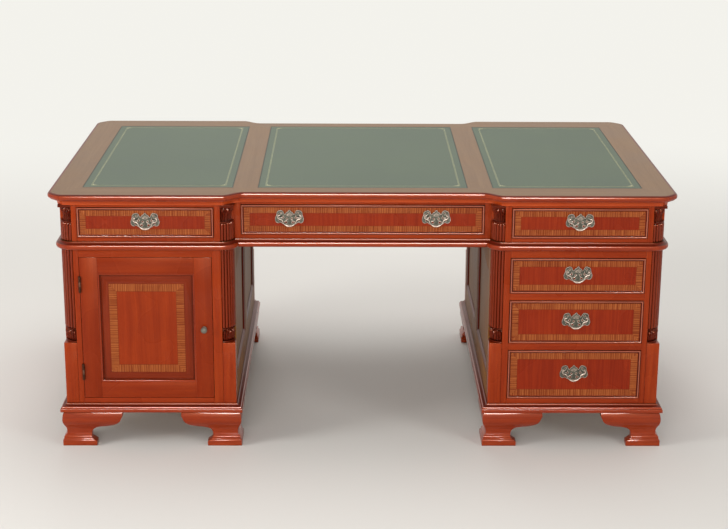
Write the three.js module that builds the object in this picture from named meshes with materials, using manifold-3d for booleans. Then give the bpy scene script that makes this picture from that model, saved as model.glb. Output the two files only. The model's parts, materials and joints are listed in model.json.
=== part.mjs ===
// Breakfront partners desk. Millimetres, +Z up, front at -Y, origin on the floor under the middle.
// The back is the front turned half round, so most pieces are made once for the front and stand twice.
import * as THREE from 'three';
import Module from 'manifold-3d';
import { mergeVertices } from 'three/addons/utils/BufferGeometryUtils.js';

const wasm = await Module();
wasm.setup();

// Overall plan
const deskWidth = 1830;
const deskDepth = 1070;
const topOverhang = 30;
const pedestalWidth = 508;
const columnRadius = 38;
const middleSetback = columnRadius;

// Heights of the storeys, from the floor up
const footHeight = 108;
const plinthHeight = 24;
const pedestalHeight = 479;
const waistHeight = 23;
const friezeHeight = 111;
const topThickness = 35;

// Gaps and joints
const seatGap = 0.3;
const runningGap = 1;
const cutMargin = 5;
const weldDistance = 0.0001;

// Boards of the carcass
const wallThickness = 20;
const dustBoard = 9;
const frameDepth = 62;
const middleFrameDepth = 24;
const partitionThickness = 16;
const guideWidth = 12;
const guideHeight = 12;
const underRecess = 18;

// Top board and its leathers
const topCornerCut = 36;
const topBreakLap = 20;
const topEdgeInset = 27;
const leatherThickness = 1.3;
const leatherRecess = 1.5;
const leatherEndMargin = 94;
const leatherFrontMargin = 101;
const leatherBandWidth = 73;
const middleLeatherWidth = 616;

// Drawers
const frontThickness = 20;
const beadWidth = 11;
const beadProud = 3;
const drawerSide = 11;
const drawerBottom = 6;
const drawerBottomLift = 7;
const drawerSideDrop = 9;
const drawerEndRoom = 8;

// Where the frieze drawers sit
const friezeBottomRail = 13;
const friezeTopRail = 7.5;
const middleStile = 20;

// Where the pedestal drawers and the door sit
const outerStile = 54;
const innerStile = 57;
const doorInnerStile = 65;
const pedestalTopRail = 24;
const pedestalBottomRail = 16;
const drawerRail = 22;
const drawerHeightShares = [0.388, 0.337, 0.275];

// Door, its panel, knob and hinges
const doorStile = 57;
const doorRail = 55;
const doorStop = 8;
const stickingWidth = 5;
const panelRebate = 7;
const panelEdge = 6;
const panelBevel = 23;
const panelMargin = 2;
const panelShoulder = 9;
const panelFieldSink = 2;
const panelBevelShare = 0.7;
const knobRadius = 10;
const knobLength = 22;
const knobEdgeDistance = 25;
const hingeHeight = 50;
const hingeEndDistance = 58;
const hingeRadius = 3.4;
const hingePinRadius = 1.2;
const hingeForward = 2.4;
const hingeSides = 10;

// Cupboard shelf
const shelfThickness = 14;
const shelfHeightShare = 0.5;
const bearerSize = 14;

// Sunk panels of the pedestal sides
const sideStile = 75;
const sideMuntin = 100;
const sideBottomRail = 73;
const sideTopRail = 86;
const sidePanelSink = 7;
const sidePanelBevel = 12;

// Reeded quarter columns
const reedDepth = 4.5;
const reedsPerQuarter = 6;
const stepsPerReed = 2;
const reedEndLength = 9;
const lowerPostHeight = 190;
const lowerCarvingHeight = 44;
const capitalHeight = 37;
const capitalBlockHeight = 18;

// Plinth and waist mouldings
const plinthProjection = 18;
const waistProjection = 15;
const waistCornerSteps = 3;
const mouldingSteps = 3;
const carvingSteps = 2;

// Bracket feet
const footReach = 181;
const footThickness = 34;
const footSwell = 13;
const footSetback = 3;
const glueBlockSize = 36;
const glueBlockLift = 16;

// Handles
const plateWidth = 84;
const plateHeight = 46;
const plateThickness = 2;
const plateSeat = 0.5;
const postSpread = 50;
const postRadius = 4.2;
const postLength = 11;
const postRise = 9;
const handleLift = 4.5;
const pivotLength = 7.2;
const bailDrop = 32;
const bailRadius = 2.2;
const bailGripRadius = 3;
const bailPinRadius = 1.4;
const bailElbowShare = 1.5;
const pinClearance = 0.1;
const rodSides = 5;
const postSides = 6;
const knobSides = 10;
const middleHandleShare = 0.602;

// Profiles and outlines as shares of the sizes above. A pair is a straight step to that place.
// Four numbers are a curve: its pull point, then the place where it ends.
const topEdgeShares = [
  [-1, 0], [-1, 0.1], [-0.92, 0.42, -0.24, 0.48], [-0.24, 0.56], [0, 0.58, 0, 0.78], [0, 1, -0.24, 1],
];
const waistShares = [[0.4, 0], [1, 0, 1, 0.36], [1, 0.6, 0.8, 0.68], [0.12, 1]];
const plinthShares = [
  [1, 0], [1, 0.4], [0.84, 0.44], [0.84, 0.52], [0.8, 0.7, 0.45, 0.73], [0.12, 0.76, 0.1, 1],
];
const footFaceShares = [
  [0, 0], [0, 0.15], [0.28, 0.19], [0.28, 0.25], [0.85, 0.31], [1.05, 0.42, 0.55, 0.54],
  [0, 0.66, 0.12, 0.84], [0.2, 0.94, 0.4, 1],
];
const footBracketShares = [
  [0, 0], [0.567, 0], [0.567, 0.12], [0.48, 0.2, 0.478, 0.32], [0.49, 0.5, 0.66, 0.55], [0.96, 0.6, 1, 0.84],
  [1, 1], [0, 1],
];
const plateOutlineShares = [
  [0, 0.54], [0.08, 0.43], [0.2, 0.38, 0.24, 0.3], [0.36, 0.24, 0.44, 0.42], [0.58, 0.6, 0.8, 0.47],
  [0.93, 0.14], [1.1, -0.2, 0.84, -0.33], [0.52, -0.35], [0.4, -0.45, 0, -0.46],
];
const plateHoleShares = [
  { acrossShare: 0.76, upShare: 0.13, halfWidthShare: 0.06, halfHeightShare: 0.14 },
  { acrossShare: 0.3, upShare: 0.06, halfWidthShare: 0.08, halfHeightShare: 0.07 },
];
const plateHoleSides = 5;
const postShares = [[0, 0.1], [0.85, 0.1], [1.1, 0.75], [0.6, 1], [0, 1]];
const bailShares = [[1, 0], [1.06, 0.42, 0.68, 0.5], [0.5, 1, 0, 1]];
const knobShares = [
  [0, 0], [0.75, 0], [0.75, 0.1], [0.36, 0.16, 0.34, 0.42], [0.9, 0.46, 1, 0.68], [0.9, 1, 0, 1],
];
const lowerCarvingShares = [[0.86, 0], [1.08, 0.45, 0.8, 0.84], [0.97, 0.9], [0.97, 1]];
const capitalShares = [[0.97, 0], [0.82, 0.16], [0.86, 0.75, 1, 0.85], [1, 1]];

// Levels and planes that follow from the sizes above
const pedestalBottom = footHeight + plinthHeight;
const waistBottom = pedestalBottom + pedestalHeight;
const friezeBottom = waistBottom + waistHeight;
const topBottom = friezeBottom + friezeHeight;
const deskHeight = topBottom + topThickness;
const bodyX = deskWidth / 2 - topOverhang;
const bodyY = deskDepth / 2 - topOverhang;
const kneeX = bodyX - pedestalWidth;
const middleY = bodyY - middleSetback;

const looks = {
  wood: { color: 0x8f3318, roughness: 0.3, metalness: 0 },
  darkWood: { color: 0x641d10, roughness: 0.35, metalness: 0 },
  leather: { color: 0x2f5c4b, roughness: 0.6, metalness: 0 },
  pewter: { color: 0x9c968a, roughness: 0.4, metalness: 0.9 },
};

// Solids and geometries

function solidOf(geometry) {
  const plain = geometry.clone();
  plain.deleteAttribute('normal');
  plain.deleteAttribute('uv');
  const welded = mergeVertices(plain, weldDistance);
  return new wasm.Manifold(new wasm.Mesh({
    numProp: 3,
    vertProperties: new Float32Array(welded.attributes.position.array),
    triVerts: new Uint32Array(welded.index.array),
  }));
}

function geometryOf(solid) {
  const mesh = solid.getMesh();
  const geometry = new THREE.BufferGeometry();
  geometry.setAttribute('position', new THREE.BufferAttribute(mesh.vertProperties, mesh.numProp));
  geometry.setIndex(new THREE.BufferAttribute(mesh.triVerts, 1));
  geometry.computeVertexNormals();
  return geometry;
}

function joined(solids) {
  return solids.reduce((whole, solid) => whole.add(solid));
}

function without(solid, cutters) {
  return cutters.reduce((rest, cutter) => rest.subtract(cutter), solid);
}

function block([x0, y0, z0], [x1, y1, z1]) {
  const geometry = new THREE.BoxGeometry(x1 - x0, y1 - y0, z1 - z0);
  geometry.translate((x0 + x1) / 2, (y0 + y1) / 2, (z0 + z1) / 2);
  return solidOf(geometry);
}

function traced(shares, steps) {
  const path = new THREE.Path();
  shares.forEach((share, i) => {
    if (i === 0) path.moveTo(...share);
    else if (share.length === 2) path.lineTo(...share);
    else path.quadraticCurveTo(...share);
  });
  return path.getPoints(steps).map(({ x, y }) => [x, y]);
}

function outwardOf(from, to) {
  const length = Math.hypot(to[0] - from[0], to[1] - from[1]);
  return [(to[1] - from[1]) / length, (from[0] - to[0]) / length];
}

function offsetOutline(points, distance) {
  const count = points.length;
  return points.map((point, i) => {
    const before = outwardOf(points[(i + count - 1) % count], point);
    const after = outwardOf(point, points[(i + 1) % count]);
    const reach = distance / (1 + before[0] * after[0] + before[1] * after[1]);
    return [point[0] + (before[0] + after[0]) * reach, point[1] + (before[1] + after[1]) * reach];
  });
}

// Skins rings of equal count. Each ring runs anticlockwise as seen from the ring after it.
function skin(rings, firstCap, lastCap) {
  const count = rings[0].length;
  const lastStart = (rings.length - 1) * count;
  const index = [];
  for (let start = 0; start < lastStart; start += count) {
    for (let i = 0; i < count; i++) {
      const here = start + i;
      const next = start + (i + 1) % count;
      index.push(here, next, next + count, here, next + count, here + count);
    }
  }
  firstCap.forEach(([a, b, c]) => index.push(c, b, a));
  lastCap.forEach(([a, b, c]) => index.push(lastStart + a, lastStart + b, lastStart + c));
  const geometry = new THREE.BufferGeometry();
  geometry.setAttribute('position', new THREE.BufferAttribute(new Float32Array(rings.flat(2)), 3));
  geometry.setIndex(index);
  return geometry;
}

function flatCap(ring) {
  return THREE.ShapeUtils.triangulateShape(ring.map(([x, y]) => new THREE.Vector2(x, y)), []);
}

function fanCap(count) {
  return Array.from({ length: count - 2 }, (_, i) => [0, i + 1, i + 2]);
}

function stacked(rings) {
  return skin(rings, flatCap(rings[0]), flatCap(rings[rings.length - 1]));
}

// A plan outline carried upwards. Each layer is [how far outwards, height].
function lofted(outline, layers) {
  return stacked(layers.map(([out, z]) => offsetOutline(outline, out).map(([x, y]) => [x, y, z])));
}

function prism(outline, low, high) {
  return solidOf(lofted(outline, [[0, low], [0, high]]));
}

function moulded(outline, shares, projection, low, height) {
  const layers = traced(shares, mouldingSteps).map(([out, up]) => [out * projection, low + up * height]);
  return solidOf(lofted(outline, layers));
}

function rectangle(x0, x1, y0, y1) {
  return [[x0, y0], [x1, y0], [x1, y1], [x0, y1]];
}

// Turns what is made in XY and rises along Z to face the front: Y goes up and Z comes forward from plane y.
function facingFront(geometry, y) {
  const turned = geometry.clone();
  turned.rotateX(Math.PI / 2);
  turned.translate(0, y, 0);
  return turned;
}

function extruded(points, holes, depth) {
  const shape = new THREE.Shape(points.map(([x, y]) => new THREE.Vector2(x, y)));
  shape.holes = holes.map((hole) => new THREE.Path(hole.map(([x, y]) => new THREE.Vector2(x, y))));
  return new THREE.ExtrudeGeometry(shape, { depth, bevelEnabled: false });
}

function pegAlongX(from, to, radius, y, z, sides) {
  const geometry = new THREE.CylinderGeometry(radius, radius, to - from, sides);
  geometry.rotateZ(Math.PI / 2);
  geometry.translate((from + to) / 2, y, z);
  return solidOf(geometry);
}

function pegAlongZ(low, high, radius, x, y, sides) {
  const geometry = new THREE.CylinderGeometry(radius, radius, high - low, sides);
  geometry.rotateX(Math.PI / 2);
  geometry.translate(x, y, (low + high) / 2);
  return solidOf(geometry);
}

// Corner radius of a regular hole whose flats stay clear of a round pin.
function holeRadius(pinRadius, clearance, sides) {
  return (pinRadius + clearance) / Math.cos(Math.PI / sides);
}

// A round bar along a path that lies in an XZ plane, with a radius for each point of the path.
function bar(points, radii) {
  const side = new THREE.Vector3(0, 1, 0);
  const rings = points.map(([x, y, z], i) => {
    const before = points[Math.max(i - 1, 0)];
    const after = points[Math.min(i + 1, points.length - 1)];
    const along = new THREE.Vector3(after[0] - before[0], 0, after[2] - before[2]).normalize();
    const across = new THREE.Vector3().crossVectors(along, side);
    return Array.from({ length: rodSides }, (_, step) => {
      const angle = step / rodSides * 2 * Math.PI;
      const sideways = radii[i] * Math.sin(angle);
      return [x + across.x * sideways, y + radii[i] * Math.cos(angle), z + across.z * sideways];
    });
  });
  return solidOf(skin(rings, fanCap(rodSides), fanCap(rodSides)));
}

function mirrored(points) {
  return points.map(([x, ...rest]) => [-x, ...rest]).reverse();
}

// Plan outlines. The front run goes from left to right, and the back run is the same turned round.

function allRound(frontRun) {
  return [...frontRun, ...frontRun.map(([x, y]) => [-x, -y])];
}

function topOutline() {
  const x = deskWidth / 2;
  const y = deskDepth / 2;
  const breakX = kneeX - topBreakLap;
  return allRound([
    [-x, -y + topCornerCut],
    [-x + topCornerCut, -y],
    [-breakX - middleSetback, -y],
    [-breakX, -y + middleSetback],
    [breakX, -y + middleSetback],
    [breakX + middleSetback, -y],
    [x - topCornerCut, -y],
    [x, -y + topCornerCut],
  ]);
}

function quarterArc(centreX, centreY, firstQuarter) {
  return Array.from({ length: waistCornerSteps + 1 }, (_, i) => {
    const angle = (firstQuarter + i / waistCornerSteps) * Math.PI / 2;
    return [centreX + columnRadius * Math.cos(angle), centreY + columnRadius * Math.sin(angle)];
  });
}

function waistOutline() {
  const outerX = bodyX - columnRadius;
  const innerX = kneeX + columnRadius;
  const centreY = bodyY - columnRadius;
  return allRound([
    ...quarterArc(-outerX, -centreY, 2),
    ...quarterArc(-innerX, -centreY, 3),
    ...quarterArc(innerX, -centreY, 2),
    ...quarterArc(outerX, -centreY, 3),
  ]);
}

function friezeOutline() {
  return allRound([
    [-bodyX, -bodyY],
    [-kneeX, -bodyY],
    [-kneeX, -middleY],
    [kneeX, -middleY],
    [kneeX, -bodyY],
    [bodyX, -bodyY],
  ]);
}

// Openings of the front, each as its sides, its bottom and top, and the plane that it opens in

const friezeLow = friezeBottom + friezeBottomRail;
const friezeOpenings = {
  left: {
    x0: -bodyX + outerStile,
    x1: -kneeX - innerStile,
    z0: friezeLow,
    z1: topBottom - friezeTopRail,
    face: -bodyY,
  },
  centre: {
    x0: -kneeX + middleStile,
    x1: kneeX - middleStile,
    z0: friezeLow,
    z1: topBottom - friezeTopRail,
    face: -middleY,
  },
  right: {
    x0: kneeX + innerStile,
    x1: bodyX - outerStile,
    z0: friezeLow,
    z1: topBottom - friezeTopRail,
    face: -bodyY,
  },
};

const openingLow = pedestalBottom + pedestalBottomRail;
const openingHigh = waistBottom - pedestalTopRail;
const doorOpening = {
  x0: -bodyX + outerStile, x1: -kneeX - doorInnerStile, z0: openingLow, z1: openingHigh, face: -bodyY,
};

function pedestalOpenings() {
  const room = openingHigh - openingLow - (drawerHeightShares.length - 1) * drawerRail;
  let low = openingLow;
  return drawerHeightShares.map((share) => {
    const high = low + share * room;
    const opening = { x0: kneeX + innerStile, x1: bodyX - outerStile, z0: low, z1: high, face: -bodyY };
    low = high + drawerRail;
    return opening;
  });
}

// Top board and leathers

const leatherY = deskDepth / 2 - leatherFrontMargin;
const leatherSpans = {
  left: [-deskWidth / 2 + leatherEndMargin, -middleLeatherWidth / 2 - leatherBandWidth],
  centre: [-middleLeatherWidth / 2, middleLeatherWidth / 2],
  right: [middleLeatherWidth / 2 + leatherBandWidth, deskWidth / 2 - leatherEndMargin],
};

function topBoard() {
  const board = moulded(topOutline(), topEdgeShares, topEdgeInset, topBottom, topThickness);
  const recesses = Object.values(leatherSpans).map(([x0, x1]) => block(
    [x0 - seatGap, -leatherY - seatGap, deskHeight - leatherRecess],
    [x1 + seatGap, leatherY + seatGap, deskHeight + cutMargin],
  ));
  return without(board, recesses);
}

function leather([x0, x1]) {
  const low = deskHeight - leatherRecess;
  return block([x0, -leatherY, low], [x1, leatherY, low + leatherThickness]);
}

// Quarter columns, made round the inner corner of their notch and reaching out to +X and +Y

function quarterRing(radius, depth, z) {
  const ring = [[seatGap, seatGap, z]];
  const steps = reedsPerQuarter * stepsPerReed;
  for (let i = 0; i <= steps; i++) {
    const angle = i / steps * Math.PI / 2;
    const swell = Math.abs(Math.sin(i / stepsPerReed * Math.PI));
    const reach = radius - depth * (1 - swell);
    ring.push([Math.max(reach * Math.cos(angle), seatGap), Math.max(reach * Math.sin(angle), seatGap), z]);
  }
  return ring;
}

function carvedRings(shares, low, height) {
  return traced(shares, carvingSteps).map(([radiusShare, up]) => {
    const lobeDepth = radiusShare < 1 ? reedDepth / 2 : 0;
    return quarterRing(radiusShare * columnRadius, lobeDepth, low + up * height);
  });
}

// Reeds that run out in rounded ends at the bottom and at the top.
function reedRings(low, high) {
  const neck = columnRadius - reedDepth;
  return [
    quarterRing(neck, 0, low),
    quarterRing(columnRadius, reedDepth, low + reedEndLength),
    quarterRing(columnRadius, reedDepth, high - reedEndLength),
    quarterRing(neck, 0, high),
  ];
}

function cornerBlock(low, high) {
  return block([seatGap, seatGap, low], [columnRadius, columnRadius, high]);
}

function lowerColumn() {
  const postTop = pedestalBottom + lowerPostHeight;
  const shaftLow = postTop + lowerCarvingHeight;
  const rings = [
    ...carvedRings(lowerCarvingShares, postTop, lowerCarvingHeight),
    ...reedRings(shaftLow + seatGap, waistBottom),
  ];
  return joined([cornerBlock(pedestalBottom, postTop), solidOf(stacked(rings))]);
}

function upperColumn() {
  const blockLow = topBottom - capitalBlockHeight;
  const capitalLow = blockLow - capitalHeight;
  const rings = [
    ...reedRings(friezeBottom, capitalLow),
    ...carvedRings(capitalShares, capitalLow + seatGap, capitalHeight - seatGap),
  ];
  return joined([cornerBlock(blockLow, topBottom), solidOf(stacked(rings))]);
}

// Quarter turns about Z that take +X +Y to the side of the corner.
function turnsAt(sideX, sideY) {
  if (sideY > 0) return sideX > 0 ? 0 : 1;
  return sideX > 0 ? 3 : 2;
}

// Each carcass corner as the side that it faces and the inner corner of its notch.
function notchesOf(outerX, innerX) {
  return [
    { sideX: 1, sideY: 1, x: outerX - columnRadius, y: bodyY - columnRadius },
    { sideX: 1, sideY: -1, x: outerX - columnRadius, y: -bodyY + columnRadius },
    { sideX: -1, sideY: 1, x: innerX + columnRadius, y: bodyY - columnRadius },
    { sideX: -1, sideY: -1, x: innerX + columnRadius, y: -bodyY + columnRadius },
  ];
}

function notchCutter({ sideX, sideY, x, y }, low, high) {
  const farX = x + sideX * (columnRadius + cutMargin);
  const farY = y + sideY * (columnRadius + cutMargin);
  return block(
    [Math.min(x, farX), Math.min(y, farY), low],
    [Math.max(x, farX), Math.max(y, farY), high],
  );
}

// Frieze carcass: the drawer storey with the base board that the waist moulding goes round

function friezeVoids() {
  const innerY = partitionThickness / 2;
  const backOfFrame = -bodyY + frameDepth;
  const backOfMiddleFrame = -middleY + middleFrameDepth;
  const { left, centre, right } = friezeOpenings;
  const openings = [left, centre, right].map(({ x0, x1, z0, z1, face }) => block(
    [x0, face - cutMargin, z0],
    [x1, -innerY, z1],
  ));
  const rooms = [
    [-bodyX + wallThickness, -kneeX - wallThickness, backOfFrame],
    [-kneeX, kneeX, backOfMiddleFrame],
    [kneeX + wallThickness, bodyX - wallThickness, backOfFrame],
  ].map(([x0, x1, y]) => block([x0, y, friezeLow], [x1, -innerY, topBottom + cutMargin]));
  return [...openings, ...rooms];
}

function friezeGuides() {
  const innerY = partitionThickness / 2;
  return Object.values(friezeOpenings).flatMap(({ x0, x1, face }) => {
    const y0 = face + (face === -middleY ? middleFrameDepth : frameDepth) - seatGap;
    return [
      block([x0 - guideWidth, y0, friezeLow - seatGap], [x0, -innerY + seatGap, friezeLow + guideHeight]),
      block([x1, y0, friezeLow - seatGap], [x1 + guideWidth, -innerY + seatGap, friezeLow + guideHeight]),
    ];
  });
}

function halfTurned(solid) {
  const geometry = geometryOf(solid);
  geometry.rotateZ(Math.PI);
  return solidOf(geometry);
}

function bothWays(solids) {
  return solids.flatMap((solid) => [solid, halfTurned(solid)]);
}

function friezeCarcass() {
  const drawerStorey = prism(friezeOutline(), friezeBottom, topBottom);
  const base = prism(waistOutline(), waistBottom, friezeBottom + seatGap);
  const sides = notchesOf(bodyX, kneeX);
  const corners = [...sides, ...sides.map(({ sideX, sideY, x, y }) => ({ sideX: -sideX, sideY, x: -x, y }))];
  const notches = corners.map((place) => notchCutter(place, friezeBottom, topBottom + cutMargin));
  const notched = without(drawerStorey, notches);
  const recess = block(
    [-kneeX + wallThickness, -middleY + wallThickness, waistBottom - cutMargin],
    [kneeX - wallThickness, middleY - wallThickness, waistBottom + underRecess],
  );
  const hollowed = without(joined([notched, base]), [...bothWays(friezeVoids()), recess]);
  const column = geometryOf(upperColumn());
  const columns = corners.map(({ sideX, sideY, x, y }) => {
    const placed = column.clone();
    placed.translate(-2 * seatGap, -2 * seatGap, 0);
    placed.rotateZ(turnsAt(sideX, sideY) * Math.PI / 2);
    placed.translate(x, y, 0);
    return solidOf(placed);
  });
  return joined([hollowed, ...bothWays(friezeGuides()), ...columns]);
}

function waistMoulding() {
  const outline = waistOutline();
  const solid = moulded(outline, waistShares, waistProjection, waistBottom, waistHeight);
  const hole = prism(offsetOutline(outline, seatGap), waistBottom - cutMargin, friezeBottom + cutMargin);
  return solid.subtract(hole);
}

// Pedestal carcass, made as the right one: drawers to the front, cupboard to the back

function drawerVoids() {
  const innerY = partitionThickness / 2;
  const openings = pedestalOpenings();
  return openings.flatMap(({ x0, x1, z0, z1, face }, i) => {
    const above = openings[i + 1];
    const roomTop = above ? above.z0 - dustBoard : waistBottom - wallThickness;
    return [
      block([x0, face - cutMargin, z0], [x1, -innerY, z1]),
      block([kneeX + wallThickness, face + frameDepth, z0], [bodyX - wallThickness, -innerY, roomTop]),
    ];
  });
}

function drawerGuides() {
  const innerY = partitionThickness / 2;
  const y0 = -bodyY + frameDepth - seatGap;
  return pedestalOpenings().flatMap(({ x0, x1, z0 }) => [
    block([kneeX + wallThickness - seatGap, y0, z0 - seatGap], [x0, -innerY + seatGap, z0 + guideHeight]),
    block([x1, y0, z0 - seatGap], [bodyX - wallThickness + seatGap, -innerY + seatGap, z0 + guideHeight]),
  ]);
}

// The cupboard is described on the left front, where the left pedestal has it.
function cupboardVoids() {
  const { x0, x1, z0, z1, face } = doorOpening;
  const stopY = face + frontThickness + runningGap;
  return [
    block([x0, face - cutMargin, z0], [x1, stopY, z1]),
    block(
      [x0 + doorStop, stopY - cutMargin, z0 + doorStop],
      [x1 - doorStop, -partitionThickness / 2, z1 - doorStop],
    ),
    block(
      [-bodyX + wallThickness, face + frameDepth, z0],
      [-kneeX - wallThickness, -partitionThickness / 2, waistBottom - wallThickness],
    ),
  ];
}

const shelfBottom = openingLow + (openingHigh - openingLow) * shelfHeightShare;
const shelfFront = -bodyY + frameDepth + wallThickness;

function shelfBearers() {
  const sides = [
    [-bodyX + wallThickness - seatGap, -bodyX + wallThickness + bearerSize],
    [-kneeX - wallThickness - bearerSize, -kneeX - wallThickness + seatGap],
  ];
  return sides.map(([x0, x1]) => block(
    [x0, shelfFront, shelfBottom - bearerSize],
    [x1, -partitionThickness / 2 + seatGap, shelfBottom],
  ));
}

function shelf() {
  return block(
    [-bodyX + wallThickness + seatGap, shelfFront, shelfBottom],
    [-kneeX - wallThickness - seatGap, -partitionThickness / 2 - seatGap, shelfBottom + shelfThickness],
  );
}

// Sunk panels of both side walls, as cutters that narrow towards their floor.
function sidePanelCutters() {
  const low = pedestalBottom + sideBottomRail;
  const high = waistBottom - sideTopRail;
  const layers = [[-sidePanelBevel, 0], [0, sidePanelSink], [0, sidePanelSink + cutMargin]];
  const spans = [
    [-bodyY + sideStile, -sideMuntin / 2],
    [sideMuntin / 2, bodyY - sideStile],
  ];
  return spans.flatMap(([y0, y1]) => [
    { x: bodyX - sidePanelSink, turn: Math.PI / 2 },
    { x: kneeX + sidePanelSink, turn: -Math.PI / 2 },
  ].map(({ x, turn }) => {
    const side = Math.sign(turn);
    const outline = side > 0 ? rectangle(y0, y1, low, high) : rectangle(-y1, -y0, low, high);
    const cutter = facingFront(lofted(outline, layers), 0);
    cutter.rotateZ(turn);
    cutter.translate(x, 0, 0);
    return solidOf(cutter);
  }));
}

const hingeX = doorOpening.x0 + runningGap / 2;
const hingeY = -bodyY - hingeForward;

function hingeSpans() {
  return [openingLow + hingeEndDistance, openingHigh - hingeEndDistance - hingeHeight].map((low) => {
    const third = hingeHeight / 3;
    return { low, firstJoint: low + third, secondJoint: low + 2 * third, high: low + hingeHeight };
  });
}

// Outer knuckles with the pin, which stay with the carcass.
function carcassKnuckles() {
  return hingeSpans().flatMap(({ low, firstJoint, secondJoint, high }) => [
    pegAlongZ(low, firstJoint, hingeRadius, hingeX, hingeY, hingeSides),
    pegAlongZ(secondJoint, high, hingeRadius, hingeX, hingeY, hingeSides),
    pegAlongZ(low + seatGap, high - seatGap, hingePinRadius, hingeX, hingeY, hingeSides),
  ]);
}

function knuckleRoom(low, high) {
  const radius = holeRadius(hingeRadius, seatGap, hingeSides);
  return pegAlongZ(low - seatGap, high + seatGap, radius, hingeX, hingeY, hingeSides);
}

// The cupboard is made on the left front and turned half round, to the right back.
function pedestalCarcass() {
  const body = block([kneeX, -bodyY, pedestalBottom], [bodyX, bodyY, waistBottom]);
  const notches = notchesOf(bodyX, kneeX).map((place) => (
    notchCutter(place, pedestalBottom - cutMargin, waistBottom + cutMargin)
  ));
  const doorKnuckleRooms = hingeSpans().map(({ firstJoint, secondJoint }) => (
    knuckleRoom(firstJoint, secondJoint)
  ));
  const cupboard = [...cupboardVoids(), ...doorKnuckleRooms].map(halfTurned);
  const hollowed = without(body, [...notches, ...drawerVoids(), ...cupboard, ...sidePanelCutters()]);
  const added = [...drawerGuides(), ...[...shelfBearers(), ...carcassKnuckles()].map(halfTurned)];
  return joined([hollowed, ...added]);
}

function plinth() {
  const outline = rectangle(kneeX, bodyX, -bodyY, bodyY);
  const solid = moulded(outline, plinthShares, plinthProjection, footHeight, plinthHeight);
  const inner = offsetOutline(outline, -wallThickness);
  return solid.subtract(prism(inner, footHeight - cutMargin, pedestalBottom + cutMargin));
}

// Ogee bracket foot, made with its outer corner at the origin and reaching back to -X and -Y

function foot() {
  const blankSize = 2 * footReach;
  const blankLayers = traced(footFaceShares, mouldingSteps).map(([inShare, up]) => (
    [-inShare * footSwell, up * footHeight]
  ));
  const blank = solidOf(lofted(rectangle(-blankSize, 0, -blankSize, 0), blankLayers));
  const bracket = traced(footBracketShares, mouldingSteps).map(([along, up]) => (
    [-along * footReach, up * footHeight]
  ));
  const frontWing = facingFront(extruded(bracket, [], footThickness + cutMargin), cutMargin);
  const sideWing = facingFront(extruded(bracket, [], footThickness + cutMargin), 0);
  sideWing.rotateZ(Math.PI / 2);
  sideWing.translate(-footThickness, 0, 0);
  const wings = joined([solidOf(frontWing), solidOf(sideWing)]);
  const blockFar = -footThickness - glueBlockSize;
  const blockNear = -footThickness + seatGap;
  const glueBlock = block([blockFar, blockFar, glueBlockLift], [blockNear, blockNear, footHeight]);
  return joined([blank.intersect(wings), glueBlock]);
}

// Handles. Their origin is in the drawer's face. The plate and posts stay with the drawer.

const postX = postSpread / 2;
const bailShoulder = postX + postRadius + seatGap;
const bailReach = bailShoulder + bailElbowShare * bailRadius;

function plateHole({ acrossShare, upShare, halfWidthShare, halfHeightShare }, side) {
  return Array.from({ length: plateHoleSides }, (_, i) => {
    const angle = Math.PI / 2 + i / plateHoleSides * 2 * Math.PI;
    return [
      (side * acrossShare + halfWidthShare * Math.cos(angle)) * plateWidth / 2,
      (upShare + halfHeightShare * Math.sin(angle)) * plateHeight,
    ];
  });
}

function plate() {
  const right = traced(plateOutlineShares, carvingSteps).map(([across, up]) => (
    [across * plateWidth / 2, up * plateHeight]
  ));
  const outline = [...right, ...mirrored(right).slice(1, -1)];
  const holes = plateHoleShares.flatMap((hole) => [plateHole(hole, 1), plateHole(hole, -1)]);
  return solidOf(facingFront(extruded(outline, holes, plateThickness + plateSeat), plateSeat));
}

function post(side) {
  const profile = postShares.map(([out, along]) => new THREE.Vector2(out * postRadius, along * postLength));
  const lathe = new THREE.LatheGeometry(profile, postSides);
  lathe.rotateX(Math.PI);
  lathe.translate(side * postX, 0, postRise);
  return solidOf(lathe);
}

function handleFittings() {
  const radius = holeRadius(bailPinRadius, pinClearance, rodSides);
  const inner = postX - postRadius / 2;
  const outer = postX + postRadius + cutMargin;
  const sockets = [
    pegAlongX(inner, outer, radius, -pivotLength, postRise, rodSides),
    pegAlongX(-outer, -inner, radius, -pivotLength, postRise, rodSides),
  ];
  return without(joined([plate(), post(1), post(-1)]), sockets);
}

// The bail's origin is on the axis of its pins.
function bail() {
  const half = traced(bailShares, carvingSteps);
  const pinEnd = postX - postRadius / 2 + seatGap;
  const rightPoints = [
    ...half.map(([across, down]) => [across * bailReach, 0, -down * bailDrop]).reverse(),
    [bailShoulder, 0, 0],
    [bailShoulder, 0, 0],
    [pinEnd, 0, 0],
  ];
  const rightRadii = [
    ...half.map(([, down]) => bailRadius + (bailGripRadius - bailRadius) * down * down).reverse(),
    bailRadius,
    bailPinRadius,
    bailPinRadius,
  ];
  const points = [...mirrored(rightPoints), ...rightPoints.slice(1)];
  const radii = [...rightRadii.slice(1).reverse(), ...rightRadii];
  return bar(points, radii);
}

// Drawers

function beadedFace({ x0, x1, z0, z1, face }) {
  const outline = rectangle(x0 + runningGap, x1 - runningGap, z0 + runningGap, z1 - runningGap);
  const easing = beadWidth / 4;
  const raised = lofted(outline, [[0, -seatGap], [0, beadProud / 2], [-easing, beadProud]]);
  const field = lofted(
    offsetOutline(outline, -beadWidth),
    [[0, 0], [easing, beadProud], [easing, beadProud + cutMargin]],
  );
  return solidOf(facingFront(raised, face)).subtract(solidOf(facingFront(field, face)));
}

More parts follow.
